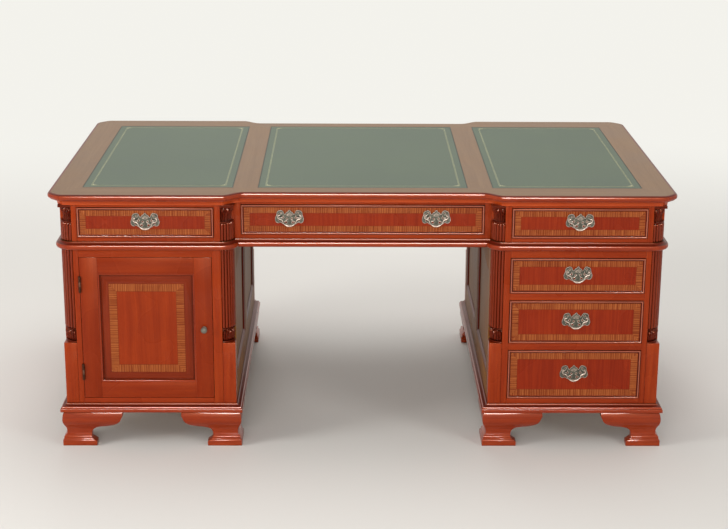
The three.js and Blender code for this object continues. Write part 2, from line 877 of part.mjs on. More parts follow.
function drawerBox({ x0, x1, z0, z1, face }) {
  const side0 = x0 + runningGap;
  const side1 = x1 - runningGap;
  const frontY = face + frontThickness;
  const backY = -partitionThickness / 2 - drawerEndRoom;
  const floorZ = z0 + drawerBottomLift;
  const box = block([side0, frontY - seatGap, z0 + seatGap], [side1, backY, z1 - drawerSideDrop]);
  const inside = block(
    [side0 + drawerSide, frontY, floorZ + drawerBottom],
    [side1 - drawerSide, backY - drawerSide, z1 + cutMargin],
  );
  const under = block(
    [side0 + drawerSide, frontY, z0 - cutMargin],
    [side1 - drawerSide, backY - drawerSide, floorZ],
  );
  return without(box, [inside, under]);
}

function drawer(opening, handlePlaces) {
  const { x0, x1, z0, z1, face } = opening;
  const board = block(
    [x0 + runningGap, face, z0 + runningGap],
    [x1 - runningGap, face + frontThickness, z1 - runningGap],
  );
  const fittings = geometryOf(handleFittings());
  const placed = handlePlaces.map(([x, y, z]) => {
    const copy = fittings.clone();
    copy.translate(x, y, z);
    return solidOf(copy);
  });
  return joined([board, beadedFace(opening), drawerBox(opening), ...placed]);
}

function handlePlacesOf({ x0, x1, z0, z1, face }, spread) {
  const x = (x0 + x1) / 2;
  const z = (z0 + z1) / 2 + handleLift;
  return spread > 0 ? [[x - spread / 2, face, z], [x + spread / 2, face, z]] : [[x, face, z]];
}

// Door of the left front, with its raised panel and knob

const leafOutline = rectangle(
  doorOpening.x0 + runningGap,
  doorOpening.x1 - runningGap,
  openingLow + runningGap,
  openingHigh - runningGap,
);
const panelOutline = rectangle(
  doorOpening.x0 + runningGap + doorStile,
  doorOpening.x1 - runningGap - doorStile,
  openingLow + runningGap + doorRail,
  openingHigh - runningGap - doorRail,
);

function doorSolid(outline, layers) {
  return solidOf(facingFront(lofted(outline, layers), doorOpening.face));
}

function doorFrame() {
  const slab = doorSolid(leafOutline, [[0, -frontThickness], [0, 0]]);
  const hole = doorSolid(panelOutline, [
    [0, -frontThickness - cutMargin], [0, -stickingWidth], [stickingWidth, 0], [stickingWidth, cutMargin],
  ]);
  const rebate = doorSolid(panelOutline, [
    [panelRebate, -frontThickness - cutMargin], [panelRebate, -panelShoulder],
  ]);
  const spans = hingeSpans();
  const rooms = spans.flatMap(({ low, firstJoint, secondJoint, high }) => [
    knuckleRoom(low, firstJoint),
    knuckleRoom(secondJoint, high),
  ]);
  const knuckles = spans.map(({ firstJoint, secondJoint }) => (
    pegAlongZ(firstJoint + seatGap, secondJoint - seatGap, hingeRadius, hingeX, hingeY, hingeSides)
  ));
  const bores = spans.map(({ low, high }) => (
    pegAlongZ(low, high, holeRadius(hingePinRadius, pinClearance, hingeSides), hingeX, hingeY, hingeSides)
  ));
  return without(joined([without(slab, [hole, rebate, ...rooms]), ...knuckles]), bores);
}

function doorPanel() {
  const edge = -panelShoulder - seatGap;
  const bevelTop = edge + (panelShoulder - panelFieldSink) * panelBevelShare;
  return doorSolid(panelOutline, [
    [panelRebate - seatGap, edge - panelEdge],
    [panelRebate - seatGap, edge],
    [-panelMargin, edge],
    [-panelMargin - panelBevel, bevelTop],
    [-panelMargin - panelBevel, -panelFieldSink],
  ]);
}

function knob() {
  const profile = traced(knobShares, carvingSteps).map(([out, along]) => (
    new THREE.Vector2(out * knobRadius, along * knobLength)
  ));
  const lathe = new THREE.LatheGeometry(profile, knobSides);
  lathe.rotateX(Math.PI);
  return solidOf(lathe);
}

// The desk. Each end's group holds what is made for the front, and the back's group is turned half round.

const desk = new THREE.Group();
const ends = [
  { end: 'front', farEnd: 'back', side: 'right', otherSide: 'left', group: new THREE.Group() },
  { end: 'back', farEnd: 'front', side: 'left', otherSide: 'right', group: new THREE.Group() },
];
ends[1].group.rotation.z = Math.PI;
ends.forEach(({ group }) => desk.add(group));

function addMesh(group, name, solid, look, position = [0, 0, 0], quarterTurns = 0) {
  const mesh = new THREE.Mesh(geometryOf(solid), new THREE.MeshStandardMaterial(look));
  mesh.name = name;
  mesh.position.set(...position);
  mesh.rotation.z = quarterTurns * Math.PI / 2;
  group.add(mesh);
}

function addBails(group, name, places, bailSolid) {
  const endings = places.length > 1 ? ['_left', '_right'] : [''];
  const order = group.rotation.z > 0 ? [...endings].reverse() : endings;
  places.forEach(([x, y, z], i) => {
    addMesh(group, `bail_${name}${order[i]}`, bailSolid, looks.pewter, [x, y - pivotLength, z + postRise]);
  });
}

function addCorners(footSolid, columnSolid) {
  const footOut = plinthProjection - footSetback;
  const footY = bodyY + footOut;
  ends.forEach(({ group, end, farEnd, side }) => {
    notchesOf(bodyX, kneeX).forEach(({ sideX, sideY, x, y }) => {
      const place = `${side}_${sideY < 0 ? end : farEnd}_${sideX > 0 ? 'outer' : 'inner'}`;
      const turns = turnsAt(sideX, sideY);
      const cornerX = sideX > 0 ? bodyX + footOut : kneeX - footOut;
      addMesh(group, `foot_${place}`, footSolid, looks.wood, [cornerX, sideY * footY, 0], turns);
      addMesh(group, `column_${place}`, columnSolid, looks.darkWood, [x, y, 0], turns);
    });
  });
}

function addPedestals() {
  const carcass = pedestalCarcass();
  const plinthSolid = plinth();
  ends.forEach(({ group, side }) => {
    addMesh(group, `pedestal_${side}`, carcass, looks.wood);
    addMesh(group, `plinth_${side}`, plinthSolid, looks.wood);
  });
}

function addDrawers(bailSolid) {
  const pedestalNames = ['low', 'middle', 'high'];
  const pedestalDrawers = pedestalOpenings().map((opening, i) => (
    { opening, label: pedestalNames[i], spread: 0 }
  ));
  const middleSpread = middleHandleShare * (friezeOpenings.centre.x1 - friezeOpenings.centre.x0);
  const friezeDrawers = ['left', 'centre', 'right'].map((label) => ({
    opening: friezeOpenings[label], label, spread: label === 'centre' ? middleSpread : 0,
  }));
  [...pedestalDrawers, ...friezeDrawers].forEach(({ opening, label, spread }) => {
    const places = handlePlacesOf(opening, spread);
    const solid = drawer(opening, places);
    ends.forEach(({ group, end, side, otherSide }) => {
      const swapped = { right: side, left: otherSide };
      const name = `${end}_${swapped[label] ?? label}`;
      addMesh(group, `drawer_${name}`, solid, looks.wood);
      addBails(group, name, places, bailSolid);
    });
  });
}

function addCupboards() {
  const frame = doorFrame();
  const panel = doorPanel();
  const knobSolid = knob();
  const shelfSolid = shelf();
  const knobPlace = [
    doorOpening.x1 - runningGap - knobEdgeDistance,
    doorOpening.face - seatGap,
    (openingLow + openingHigh) / 2,
  ];
  ends.forEach(({ group, end }) => {
    addMesh(group, `door_frame_${end}`, frame, looks.wood);
    addMesh(group, `door_panel_${end}`, panel, looks.wood);
    addMesh(group, `door_knob_${end}`, knobSolid, looks.pewter, knobPlace);
    addMesh(group, `shelf_${end}`, shelfSolid, looks.wood);
  });
}

addMesh(desk, 'top_board', topBoard(), looks.wood);
Object.entries(leatherSpans).forEach(([label, span]) => {
  addMesh(desk, `leather_${label}`, leather(span), looks.leather);
});
addMesh(desk, 'frieze_carcass', friezeCarcass(), looks.wood);
addMesh(desk, 'waist_moulding', waistMoulding(), looks.wood);
addPedestals();
addCorners(foot(), lowerColumn());
addDrawers(bail());
addCupboards();

export default desk;
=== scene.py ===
import json
import math
import random

import bmesh
import bpy
from mathutils import Matrix, Vector

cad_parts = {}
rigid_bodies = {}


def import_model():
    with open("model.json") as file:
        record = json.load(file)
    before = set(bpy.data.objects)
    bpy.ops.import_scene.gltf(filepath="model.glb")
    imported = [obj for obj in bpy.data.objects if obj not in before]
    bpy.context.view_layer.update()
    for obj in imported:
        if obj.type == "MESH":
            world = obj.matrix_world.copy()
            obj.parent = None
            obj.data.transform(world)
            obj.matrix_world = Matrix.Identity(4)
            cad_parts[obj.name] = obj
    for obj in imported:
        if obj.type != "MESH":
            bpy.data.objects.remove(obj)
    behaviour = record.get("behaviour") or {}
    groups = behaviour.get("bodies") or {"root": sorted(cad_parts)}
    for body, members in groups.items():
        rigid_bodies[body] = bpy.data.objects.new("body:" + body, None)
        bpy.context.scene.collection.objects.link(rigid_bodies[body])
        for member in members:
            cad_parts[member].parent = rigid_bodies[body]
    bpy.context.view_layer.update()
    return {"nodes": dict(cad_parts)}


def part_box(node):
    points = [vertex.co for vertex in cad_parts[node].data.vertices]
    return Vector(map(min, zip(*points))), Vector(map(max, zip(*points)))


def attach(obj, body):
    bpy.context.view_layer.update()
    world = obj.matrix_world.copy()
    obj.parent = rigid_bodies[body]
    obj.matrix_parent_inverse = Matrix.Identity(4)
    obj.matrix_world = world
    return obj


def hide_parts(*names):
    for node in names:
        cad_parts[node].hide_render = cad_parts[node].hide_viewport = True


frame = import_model()
print("frame loaded:", len(frame["nodes"]), "nodes")

# The camera stands where the photograph was taken from, worked out from the desk's own corners
cameraSettings = {
    "place": (-0.04573, -5.10555, 1.94266),
    "lens": 81.07,
    "pitchDown": 16.653,
    "yaw": 0.615,
    "roll": 0.291,
}


def makeCamera(pitchDown, yaw, roll):
    forward = Vector((
        math.sin(yaw) * math.cos(pitchDown), math.cos(yaw) * math.cos(pitchDown), -math.sin(pitchDown),
    ))
    level = Vector((math.cos(yaw), -math.sin(yaw), 0))
    upright = level.cross(forward)
    right = level * math.cos(roll) + upright * math.sin(roll)
    up = upright * math.cos(roll) - level * math.sin(roll)
    data = bpy.data.cameras.new("deskCamera")
    data.lens = cameraSettings["lens"]
    camera = bpy.data.objects.new("deskCamera", data)
    turned = Matrix((right, up, -forward)).transposed().to_4x4()
    camera.matrix_world = Matrix.Translation(cameraSettings["place"]) @ turned
    bpy.context.scene.collection.objects.link(camera)
    bpy.context.scene.camera = camera


makeCamera(*(math.radians(cameraSettings[key]) for key in ("pitchDown", "yaw", "roll")))
print("camera placed")

# Node helpers


# A socket takes a link from another node or a plain value. A colour is given without its alpha
def feed(tree, socket, value):
    if isinstance(value, bpy.types.NodeSocket):
        tree.links.new(value, socket)
    elif socket.type == "RGBA":
        socket.default_value = (*value, 1)
    else:
        socket.default_value = value


def addNode(tree, kind, inputs=None, **settings):
    node = tree.nodes.new(kind)
    for key, value in settings.items():
        setattr(node, key, value)
    for key, value in (inputs or {}).items():
        feed(tree, node.inputs[key], value)
    return node


def ramp(tree, factor, stops, smooth=False):
    node = addNode(tree, "ShaderNodeValToRGB", {"Fac": factor})
    elements = node.color_ramp.elements
    node.color_ramp.interpolation = "B_SPLINE" if smooth else "LINEAR"
    while len(elements) < len(stops):
        elements.new(0.5)
    for element, (position, colour) in zip(elements, stops):
        element.position = position
        element.color = (*colour, 1)
    return node.outputs["Color"]


def noise(tree, vector, scale=1.0, detail=3.0, roughness=0.55):
    inputs = {"Vector": vector, "Scale": scale, "Detail": detail, "Roughness": roughness}
    return addNode(tree, "ShaderNodeTexNoise", inputs).outputs["Fac"]


def stretched(tree, vector, scale):
    return addNode(tree, "ShaderNodeMapping", {"Vector": vector, "Scale": scale}).outputs["Vector"]


def maths(tree, operation, first, second, clamp=False):
    inputs = {0: first, 1: second}
    return addNode(tree, "ShaderNodeMath", inputs, operation=operation, use_clamp=clamp).outputs[0]


# A base that a texture raises or lowers, by the given amount of it
def varied(tree, base, texture, amount):
    return maths(tree, "ADD", base, maths(tree, "MULTIPLY", texture, amount))


def multiplied(tree, factor, first, second):
    inputs = {0: factor, 6: first, 7: second}
    return addNode(tree, "ShaderNodeMix", inputs, data_type="RGBA", blend_type="MULTIPLY").outputs[2]


# Ambient occlusion: a share that falls where other surfaces are near, used to paint shade into colours
def occlusionShade(tree, distance):
    return addNode(tree, "ShaderNodeAmbientOcclusion", {"Distance": distance}, samples=6).outputs["AO"]


def newMaterial(name, **finish):
    material = bpy.data.materials.new(name)
    material.use_nodes = True
    tree = material.node_tree
    surface = tree.nodes["Principled BSDF"]
    for key, value in finish.items():
        feed(tree, surface.inputs[key.replace("_", " ")], value)
    return material, tree, surface


def bump(tree, surface, height, strength, distance):
    inputs = {"Height": height, "Strength": strength, "Distance": distance}
    feed(tree, surface.inputs["Normal"], addNode(tree, "ShaderNodeBump", inputs).outputs["Normal"])


# Finishes
woods = {
    "mahogany": {
        "dark": (0.150, 0.011, 0.002), "middle": (0.225, 0.021, 0.003), "light": (0.300, 0.040, 0.006),
        "streak": 0.9, "fine": 0.4, "roughness": 0.28,
    },
    "polishedMahogany": {
        "dark": (0.140, 0.010, 0.002), "middle": (0.215, 0.020, 0.003), "light": (0.290, 0.038, 0.006),
        "streak": 0.9, "fine": 0.4, "roughness": 0.3, "specular": 0.25, "coat": 0.45,
    },
    # the cove under the top's nose, painted lighter as if lit from below
    "coveMahogany": {
        "dark": (0.230, 0.022, 0.004), "middle": (0.340, 0.040, 0.007), "light": (0.430, 0.068, 0.012),
        "streak": 0.9, "fine": 0.4, "roughness": 0.3, "coat": 0.2,
    },
    # crests of the beads, painted paler as a highlight
    "rubbedMahogany": {
        "dark": (0.210, 0.042, 0.022), "middle": (0.300, 0.085, 0.048), "light": (0.390, 0.135, 0.080),
        "streak": 0.7, "fine": 0.4, "roughness": 0.28, "coat": 0.7,
    },
    "doorMahogany": {
        "dark": (0.125, 0.008, 0.001), "middle": (0.185, 0.015, 0.002), "light": (0.250, 0.030, 0.004),
        "streak": 0.8, "fine": 0.3, "roughness": 0.28,
    },
    "fieldVeneer": {
        "dark": (0.125, 0.006, 0.001), "middle": (0.185, 0.011, 0.002), "light": (0.245, 0.022, 0.003),
        "streak": 1.0, "fine": 0.75, "roughness": 0.28,
    },
    "crossbanding": {
        "dark": (0.125, 0.016, 0.004), "middle": (0.207, 0.041, 0.009), "light": (0.330, 0.098, 0.025),
        "streak": 0.8, "fine": 0.95, "roughness": 0.28, "stripe": 0.0066,
    },
    # dark wood of the carvings and stringing, also laid in quirks and hollows as painted shade
    "carvedMahogany": {
        "dark": (0.050, 0.003, 0.001), "middle": (0.090, 0.007, 0.002), "light": (0.150, 0.014, 0.003),
        "streak": 0.8, "fine": 0.45, "roughness": 0.38, "specular": 0.25, "coat": 0.1,
    },
    "columnMahogany": {
        "dark": (0.085, 0.006, 0.001), "middle": (0.145, 0.012, 0.002), "light": (0.210, 0.024, 0.004),
        "streak": 0.8, "fine": 0.45, "roughness": 0.22, "coat": 0.2,
    },
    "topMahogany": {
        "dark": (0.125, 0.060, 0.025), "middle": (0.175, 0.092, 0.040), "light": (0.225, 0.126, 0.059),
        "streak": 0.6, "fine": 0.45, "roughness": 0.5, "specular": 0.15, "tint": (1, 1, 1), "coat": 0.25,
    },
    # the kneehole sides and the frieze base, browner and yellower as a painted reflection of the floor
    "sideMahogany": {
        "dark": (0.105, 0.034, 0.008), "middle": (0.170, 0.064, 0.015), "light": (0.235, 0.100, 0.026),
        "streak": 1.0, "fine": 0.45, "roughness": 0.5, "specular": 0.15, "tint": (0.9, 0.75, 0.4), "coat": 0,
    },
    "drawerLining": {
        "dark": (0.330, 0.200, 0.105), "middle": (0.460, 0.300, 0.165), "light": (0.570, 0.400, 0.240),
        "streak": 1.0, "fine": 0.45, "roughness": 0.6, "specular": 0.3, "tint": (1, 1, 1), "coat": 0,
    },
}
# Layers of the grain, each squeezed by [along, across, across] the plank, and how strongly each one shows
grainSettings = {
    "wander": (2.0, 9.0, 9.0),
    "figure": (1.6, 42.0, 42.0),
    "ribbon": (4.5, 190.0, 190.0),
    "pores": (55.0, 1500.0, 1500.0),
    "cloud": 5.5,
    "sway": 0.035,
    "contrast": 1.6,
    "stripeWander": 9.0,
    "stripeShade": 0.24,
    "cloudShade": 0.5,
    "lift": 0.25,
    "poreColour": (0.62, 0.55, 0.5),
    "poreShade": 0.6,
    # darkening of the hollows by ambient occlusion, partly old polish and partly painted shade: its reach,
    # darkest colour and strength
    "waxAndShadeReach": 0.007,
    "waxAndShadeColour": (0.12, 0.09, 0.08),
    "waxAndShadeAmount": 0.85,
    "glossVariation": 0.16,
    "poreRelief": (0.12, 0.0004),
}


# The tint is that of the amber polish, which warms what the wood reflects. Stripe is the pitch of a ribbon
# figure, and without it the wood has none
def woodMaterial(name, dark, middle, light, streak, fine, roughness, specular=0.4, tint=(1.0, 0.36, 0.18),
                 coat=0.12, stripe=0.0):
    look = grainSettings
    material, tree, surface = newMaterial(
        name, Coat_Weight=coat, Coat_Roughness=0.1, Specular_IOR_Level=specular, Specular_Tint=tint,
    )
    grain = addNode(tree, "ShaderNodeAttribute", attribute_name="grain").outputs["Vector"]
    wander = noise(tree, stretched(tree, grain, look["wander"]), detail=2.0)
    aside = maths(tree, "MULTIPLY", wander, look["sway"])
    sway = addNode(tree, "ShaderNodeCombineXYZ", {"Y": aside}).outputs[0]
    bent = addNode(tree, "ShaderNodeVectorMath", {0: grain, 1: sway}, operation="ADD").outputs[0]
    figure = noise(tree, stretched(tree, bent, look["figure"]), detail=4.0, roughness=0.6)
    ribbon = noise(tree, stretched(tree, bent, look["ribbon"]), detail=3.0, roughness=0.6)
    pores = noise(tree, stretched(tree, bent, look["pores"]), detail=2.0, roughness=0.6)
    cloud = noise(tree, grain, look["cloud"], 2.0)
    tone = varied(tree, maths(tree, "MULTIPLY", figure, 1 - fine), ribbon, fine)
    tone = maths(tree, "MULTIPLY", maths(tree, "SUBTRACT", tone, 0.5), look["contrast"] * streak)
    if stripe:
        sides = addNode(tree, "ShaderNodeSeparateXYZ", {0: bent}).outputs
        across = maths(tree, "ADD", sides["Y"], sides["Z"])
        turns = maths(tree, "MULTIPLY", across, 2 * math.pi / stripe)
        wave = maths(tree, "SINE", varied(tree, turns, ribbon, look["stripeWander"]), 0.0)
        tone = varied(tree, tone, wave, look["stripeShade"])
    tone = varied(tree, tone, cloud, look["cloudShade"])
    tone = maths(tree, "ADD", tone, look["lift"], clamp=True)
    colour = ramp(tree, tone, [(0.08, dark), (0.5, middle), (0.92, light)], True)
    poreShade = ramp(tree, pores, [(0.30, look["poreColour"]), (0.46, (1, 1, 1))])
    colour = multiplied(tree, look["poreShade"], colour, poreShade)
    # old polish gathers in the quirks and hollows, and their darkening by ambient occlusion is painted shade
    # as well
    waxAndShade = ramp(tree, occlusionShade(tree, look["waxAndShadeReach"]), [(0.3, look["waxAndShadeColour"]), (0.82, (1, 1, 1))])
    feed(tree, surface.inputs["Base Color"], multiplied(tree, look["waxAndShadeAmount"], colour, waxAndShade))
    gloss = varied(tree, roughness - look["glossVariation"] / 2, cloud, look["glossVariation"])
    feed(tree, surface.inputs["Roughness"], gloss)
    bump(tree, surface, pores, *look["poreRelief"])
    return material


# Leather: fine pebbles and creases, and a slow blotch between two colours
leathers = {
    "greenLeather": {"light": (0.075, 0.102, 0.061), "dark": (0.050, 0.075, 0.043), "roughness": 0.55},
    "inkedLeather": {"light": (0.020, 0.026, 0.020), "dark": (0.012, 0.017, 0.013), "roughness": 0.6},
}
hideSettings = {
    "pebbles": 620.0,
    "creases": 260.0,
    "blotch": 7.0,
    "creaseShade": 0.7,
    "glossVariation": 0.2,
    "creaseRelief": 0.6,
    "relief": (0.25, 0.0004),
}


def leatherMaterial(name, light, dark, roughness):
    look = hideSettings
    material, tree, surface = newMaterial(name, Specular_IOR_Level=0.22, Sheen_Weight=0.08)
    spot = addNode(tree, "ShaderNodeTexCoord").outputs["Object"]
    cells = {"Vector": spot, "Scale": look["pebbles"], "Randomness": 0.95}
    pebbles = addNode(tree, "ShaderNodeTexVoronoi", cells).outputs["Distance"]
    creases = noise(tree, spot, look["creases"], 5.0, 0.65)
    blotch = noise(tree, spot, look["blotch"], 4.0, 0.6)
    tone = ramp(tree, blotch, [(0.3, dark), (0.7, light)])
    creaseShade = ramp(tree, creases, [(0.35, (0.78, 0.78, 0.78)), (0.65, (1.12, 1.12, 1.12))])
    feed(tree, surface.inputs["Base Color"], multiplied(tree, look["creaseShade"], tone, creaseShade))
    rough = varied(tree, roughness, maths(tree, "SUBTRACT", blotch, 0.5), look["glossVariation"])
    feed(tree, surface.inputs["Roughness"], rough)
    bump(tree, surface, varied(tree, pebbles, creases, look["creaseRelief"]), *look["relief"])
    return material


# Metal: bright and dull patches, and hollows darkened by ambient occlusion, partly tarnish and partly painted
# shade
metals = {
    "pewter": {"bright": (0.42, 0.34, 0.28), "dull": (0.19, 0.155, 0.125), "roughness": 0.42},
    "darkPewter": {"bright": (0.090, 0.084, 0.064), "dull": (0.018, 0.018, 0.014), "roughness": 0.46},
    "knobPewter": {"bright": (0.30, 0.28, 0.24), "dull": (0.20, 0.19, 0.16), "roughness": 0.5},
    "goldLeaf": {
        "bright": (0.52, 0.50, 0.30), "dull": (0.42, 0.41, 0.25), "roughness": 0.45, "metallic": 0.35,
    },
    "hingeBrass": {"bright": (0.115, 0.05, 0.03), "dull": (0.06, 0.024, 0.014), "roughness": 0.5},
}
wearSettings = {
    "patches": 160.0,
    "fine": 1400.0,
    "tarnishAndShadeReach": 0.004,
    "tarnishAndShadeAmount": 0.85,
    "tarnishAndShadeDepth": 0.22,
    "glossVariation": 0.2,
    "fineRelief": 0.3,
    "relief": (0.3, 0.0003),
}


def metalMaterial(name, bright, dull, roughness, metallic=0.9):
    look = wearSettings
    material, tree, surface = newMaterial(name, Metallic=metallic)
    spot = addNode(tree, "ShaderNodeTexCoord").outputs["Object"]
    patches = noise(tree, spot, look["patches"], 4.0, 0.6)
    fine = noise(tree, spot, look["fine"], 3.0, 0.6)
    colour = ramp(tree, patches, [(0.3, dull), (0.68, bright)])
    # the hollows are darkened as tarnish and as painted shade
    deepest = tuple(look["tarnishAndShadeDepth"] * value for value in dull)
    hollow = ramp(tree, occlusionShade(tree, look["tarnishAndShadeReach"]), [(0.25, deepest), (0.8, (1, 1, 1))])
    feed(tree, surface.inputs["Base Color"], multiplied(tree, look["tarnishAndShadeAmount"], colour, hollow))
    feed(tree, surface.inputs["Roughness"], varied(tree, roughness, fine, look["glossVariation"]))
    bump(tree, surface, varied(tree, patches, fine, look["fineRelief"]), *look["relief"])
    return material


finishes = {name: woodMaterial(name, **values) for name, values in woods.items()}
finishes |= {name: leatherMaterial(name, **values) for name, values in leathers.items()}
finishes |= {name: metalMaterial(name, **values) for name, values in metals.items()}
finishNumbers = {name: number for number, name in enumerate(finishes)}
print("finishes made")

# Mesh helpers
weldDistance = 0.00001
middleRadius = 0.0001


def traced(path, steps=8):
    # a pair is a straight step, four numbers are a curve with its pull point first
    points = [path[0]]
    for part in path[1:]:
        if len(part) == 2:
            points.append(part)
            continue
        (x0, y0), (px, py, x1, y1) = points[-1], part
        for i in range(1, steps + 1):
            t = i / steps
            a, b, c = (1 - t) ** 2, 2 * t * (1 - t), t * t
            points.append((a * x0 + b * px + c * x1, a * y0 + b * py + c * y1))
    return points


def scaled(points, across, up, baseAcross=0.0, baseUp=0.0):
    return [(baseAcross + x * across, baseUp + y * up) for x, y in points]


# How far across a traced shape is at a height of it
def acrossAt(points, up):
    for (a0, u0), (a1, u1) in zip(points, points[1:]):
        if up <= u1 + 1e-9:
            return a0 + (a1 - a0) * (up - u0) / max(u1 - u0, 1e-6)
    return points[-1][0]


def rectangle(x0, x1, y0, y1, inset=0.0):
    left, right, low, high = x0 + inset, x1 - inset, y0 + inset, y1 - inset
    return [(left, low), (right, low), (right, high), (left, high)]


def circle(count):
    angles = (2 * math.pi * k / count for k in range(count))
    return [(math.cos(angle), math.sin(angle)) for angle in angles]


def offsetOutline(points, distance):
    moved = []
    for i, (x, y) in enumerate(points):
        before, after = points[i - 1], points[(i + 1) % len(points)]
        first = Vector((y - before[1], before[0] - x)).normalized()
        second = Vector((after[1] - y, x - after[0])).normalized()
        move = (first + second) * distance / (1 + first.dot(second))
        moved.append((x + move.x, y + move.y))
    return moved


# An outline with its corners rounded. A short side keeps a tenth of itself straight
def softened(outline, radius, steps=4):
    soft = []
    for i in range(len(outline)):
        here, before, after = (Vector(outline[k % len(outline)]) for k in (i, i - 1, i + 1))
        reach = min(radius, 0.45 * (before - here).length, 0.45 * (after - here).length)
        start = here + (before - here).normalized() * reach
        end = here + (after - here).normalized() * reach
        for k in range(steps + 1):
            t = k / steps
            spot = start * (1 - t) ** 2 + here * 2 * t * (1 - t) + end * t * t
            soft.append((spot.x, spot.y))
    return soft


def newShape():
    bm = bmesh.new()
    bm.loops.layers.float_vector.new("grain")
    bm.faces.layers.int.new("dressed")
    return bm


dice = random.Random(7)


# Gives the faces added last their finish, and the grain its direction and a place of its own in the plank.
# The grain goes along an axis, or "run" takes it along the moulding
def dress(bm, finish, along):
    layer = bm.loops.layers.float_vector["grain"]
    dressed = bm.faces.layers.int["dressed"]
    shift = Vector((dice.uniform(0, 9), dice.uniform(0, 9), dice.uniform(0, 9)))
    axes = {"x": (0, 1, 2), "y": (1, 0, 2), "z": (2, 0, 1)}
    for face in bm.faces:
        if face[dressed]:
            continue
        face[dressed] = 1
        face.material_index = finishNumbers[finish]
        if along in axes:
            for loop in face.loops:
                loop[layer] = Vector([loop.vert.co[axis] for axis in axes[along]]) + shift
            continue
        edge = max(face.edges, key=lambda e: (e.verts[0].co - e.verts[1].co).xy.length)
        way = (edge.verts[1].co - edge.verts[0].co).xy
        way = way.normalized() if way.length > 1e-7 else Vector((1, 0))
        for loop in face.loops:
            co = loop.vert.co
            loop[layer] = Vector((co.xy.dot(way), co.x * way.y - co.y * way.x, co.z)) + shift


# The same length of moulding keeps one piece of grain over all its facets
def dressLike(bm, finish, along, which):
    state = dice.getstate()
    dice.seed(which)
    dress(bm, finish, along)
    dice.setstate(state)


def addFace(bm, points):
    bm.faces.new([bm.verts.new(point) for point in points])


def weld(bm):
    bmesh.ops.remove_doubles(bm, verts=bm.verts, dist=weldDistance)


def addBoard(bm, low, high, along="x", finish="mahogany", ease=0.0007):
    xs, ys, zs = zip(low, high)
    corners = [bm.verts.new((x, y, z)) for z in zs for y in ys for x in xs]
    quads = ((0, 2, 3, 1), (4, 5, 7, 6), (0, 1, 5, 4), (2, 6, 7, 3), (0, 4, 6, 2), (1, 3, 7, 5))
    faces = [bm.faces.new([corners[i] for i in quad]) for quad in quads]
    edges = dict.fromkeys(edge for face in faces for edge in face.edges)
    bmesh.ops.bevel(bm, geom=list(edges), offset=ease, segments=2, profile=0.5, affect="EDGES")
    dress(bm, finish, along)


def addLoft(bm, rings, finish, along="run", capped=True, closed=False):
    rows = [[bm.verts.new(point) for point in ring] for ring in rings]
    if closed:
        rows.append(rows[0])
    for lower, upper in zip(rows, rows[1:]):
        for i in range(len(lower)):
            bm.faces.new((lower[i - 1], lower[i], upper[i], upper[i - 1]))
    if capped and not closed:
        bm.faces.new(rows[0])
        bm.faces.new(rows[-1])
    dress(bm, finish, along)
    return rows


# A profile of [how far outwards, height] carried round a plan outline
def addMoulding(bm, outline, profile, finish, closed=False, capped=True):
    rings = [[(x, y, z) for x, y in offsetOutline(outline, out)] for out, z in profile]
    return addLoft(bm, rings, finish, "run", capped, closed)


# A closed moulding whose hollow, above the given height, is painted darker than its nose as shade
def addMouldingWithShadedHollow(bm, outline, profile, hollowFrom):
    split = next(i for i, (_, z) in enumerate(profile) if z > hollowFrom)
    inside = [profile[-1], profile[0]]
    addMoulding(bm, outline, profile[:split], "polishedMahogany", capped=False)
    addMoulding(bm, outline, profile[split - 1:], "carvedMahogany", capped=False)
    addMoulding(bm, outline, inside, "polishedMahogany", capped=False)
    weld(bm)


# Turned round a line towards the front, profile as [radius, how far forward]
def addTurned(bm, profile, at, sides, finish):
    rings = []
    for radius, forward in profile:
        rings.append([(at[0] + radius * c, at[1] - forward, at[2] + radius * s) for c, s in circle(sides)])
    addLoft(bm, rings, finish, "y")


# The mesh gets only the finishes that its faces have
def asMesh(name, bm, sharpAngle=38):
    bmesh.ops.recalc_face_normals(bm, faces=bm.faces)
    bm.faces.layers.int.remove(bm.faces.layers.int["dressed"])
    used = sorted({face.material_index for face in bm.faces})
    for face in bm.faces:
        face.material_index = used.index(face.material_index)
    mesh = bpy.data.meshes.new(name)
    bm.to_mesh(mesh)
    bm.free()
    for number in used:
        mesh.materials.append(list(finishes.values())[number])
    mesh.shade_smooth()
    mesh.set_sharp_from_angle(angle=math.radians(sharpAngle))
    return mesh


def place(name, mesh, body, nodes=(), at=(0, 0, 0), quarterTurns=0, halfRound=False):
    piece = bpy.data.objects.new(name, mesh)
    bpy.context.scene.collection.objects.link(piece)
    stand = Matrix.Translation(at) @ Matrix.Rotation(quarterTurns * math.pi / 2, 4, "Z")
    piece.matrix_world = (Matrix.Rotation(math.pi, 4, "Z") if halfRound else Matrix()) @ stand
    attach(piece, body)
    if nodes:
        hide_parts(*nodes)


# Places of the carcass, read from the frame. The back is the front turned half round
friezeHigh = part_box("frieze_carcass")[1]
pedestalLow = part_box("pedestal_right")[0]
topLow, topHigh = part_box("top_board")
plinthLow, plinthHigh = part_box("plinth_right")
waistLow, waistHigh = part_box("waist_moulding")
columnLow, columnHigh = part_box("column_right_front_outer")
bodyX, bodyY, kneeX = friezeHigh.x, friezeHigh.y, pedestalLow.x
footTop, pedestalBottom, waistBottom, friezeBottom, topBottom = (
    plinthLow.z, plinthHigh.z, waistLow.z, waistHigh.z, topLow.z
)
seatGap = 0.0003
runningGap = 0.001
columnRadius = columnHigh.x - columnLow.x + seatGap
middleY = bodyY - columnRadius
ends = {"front": False, "back": True}

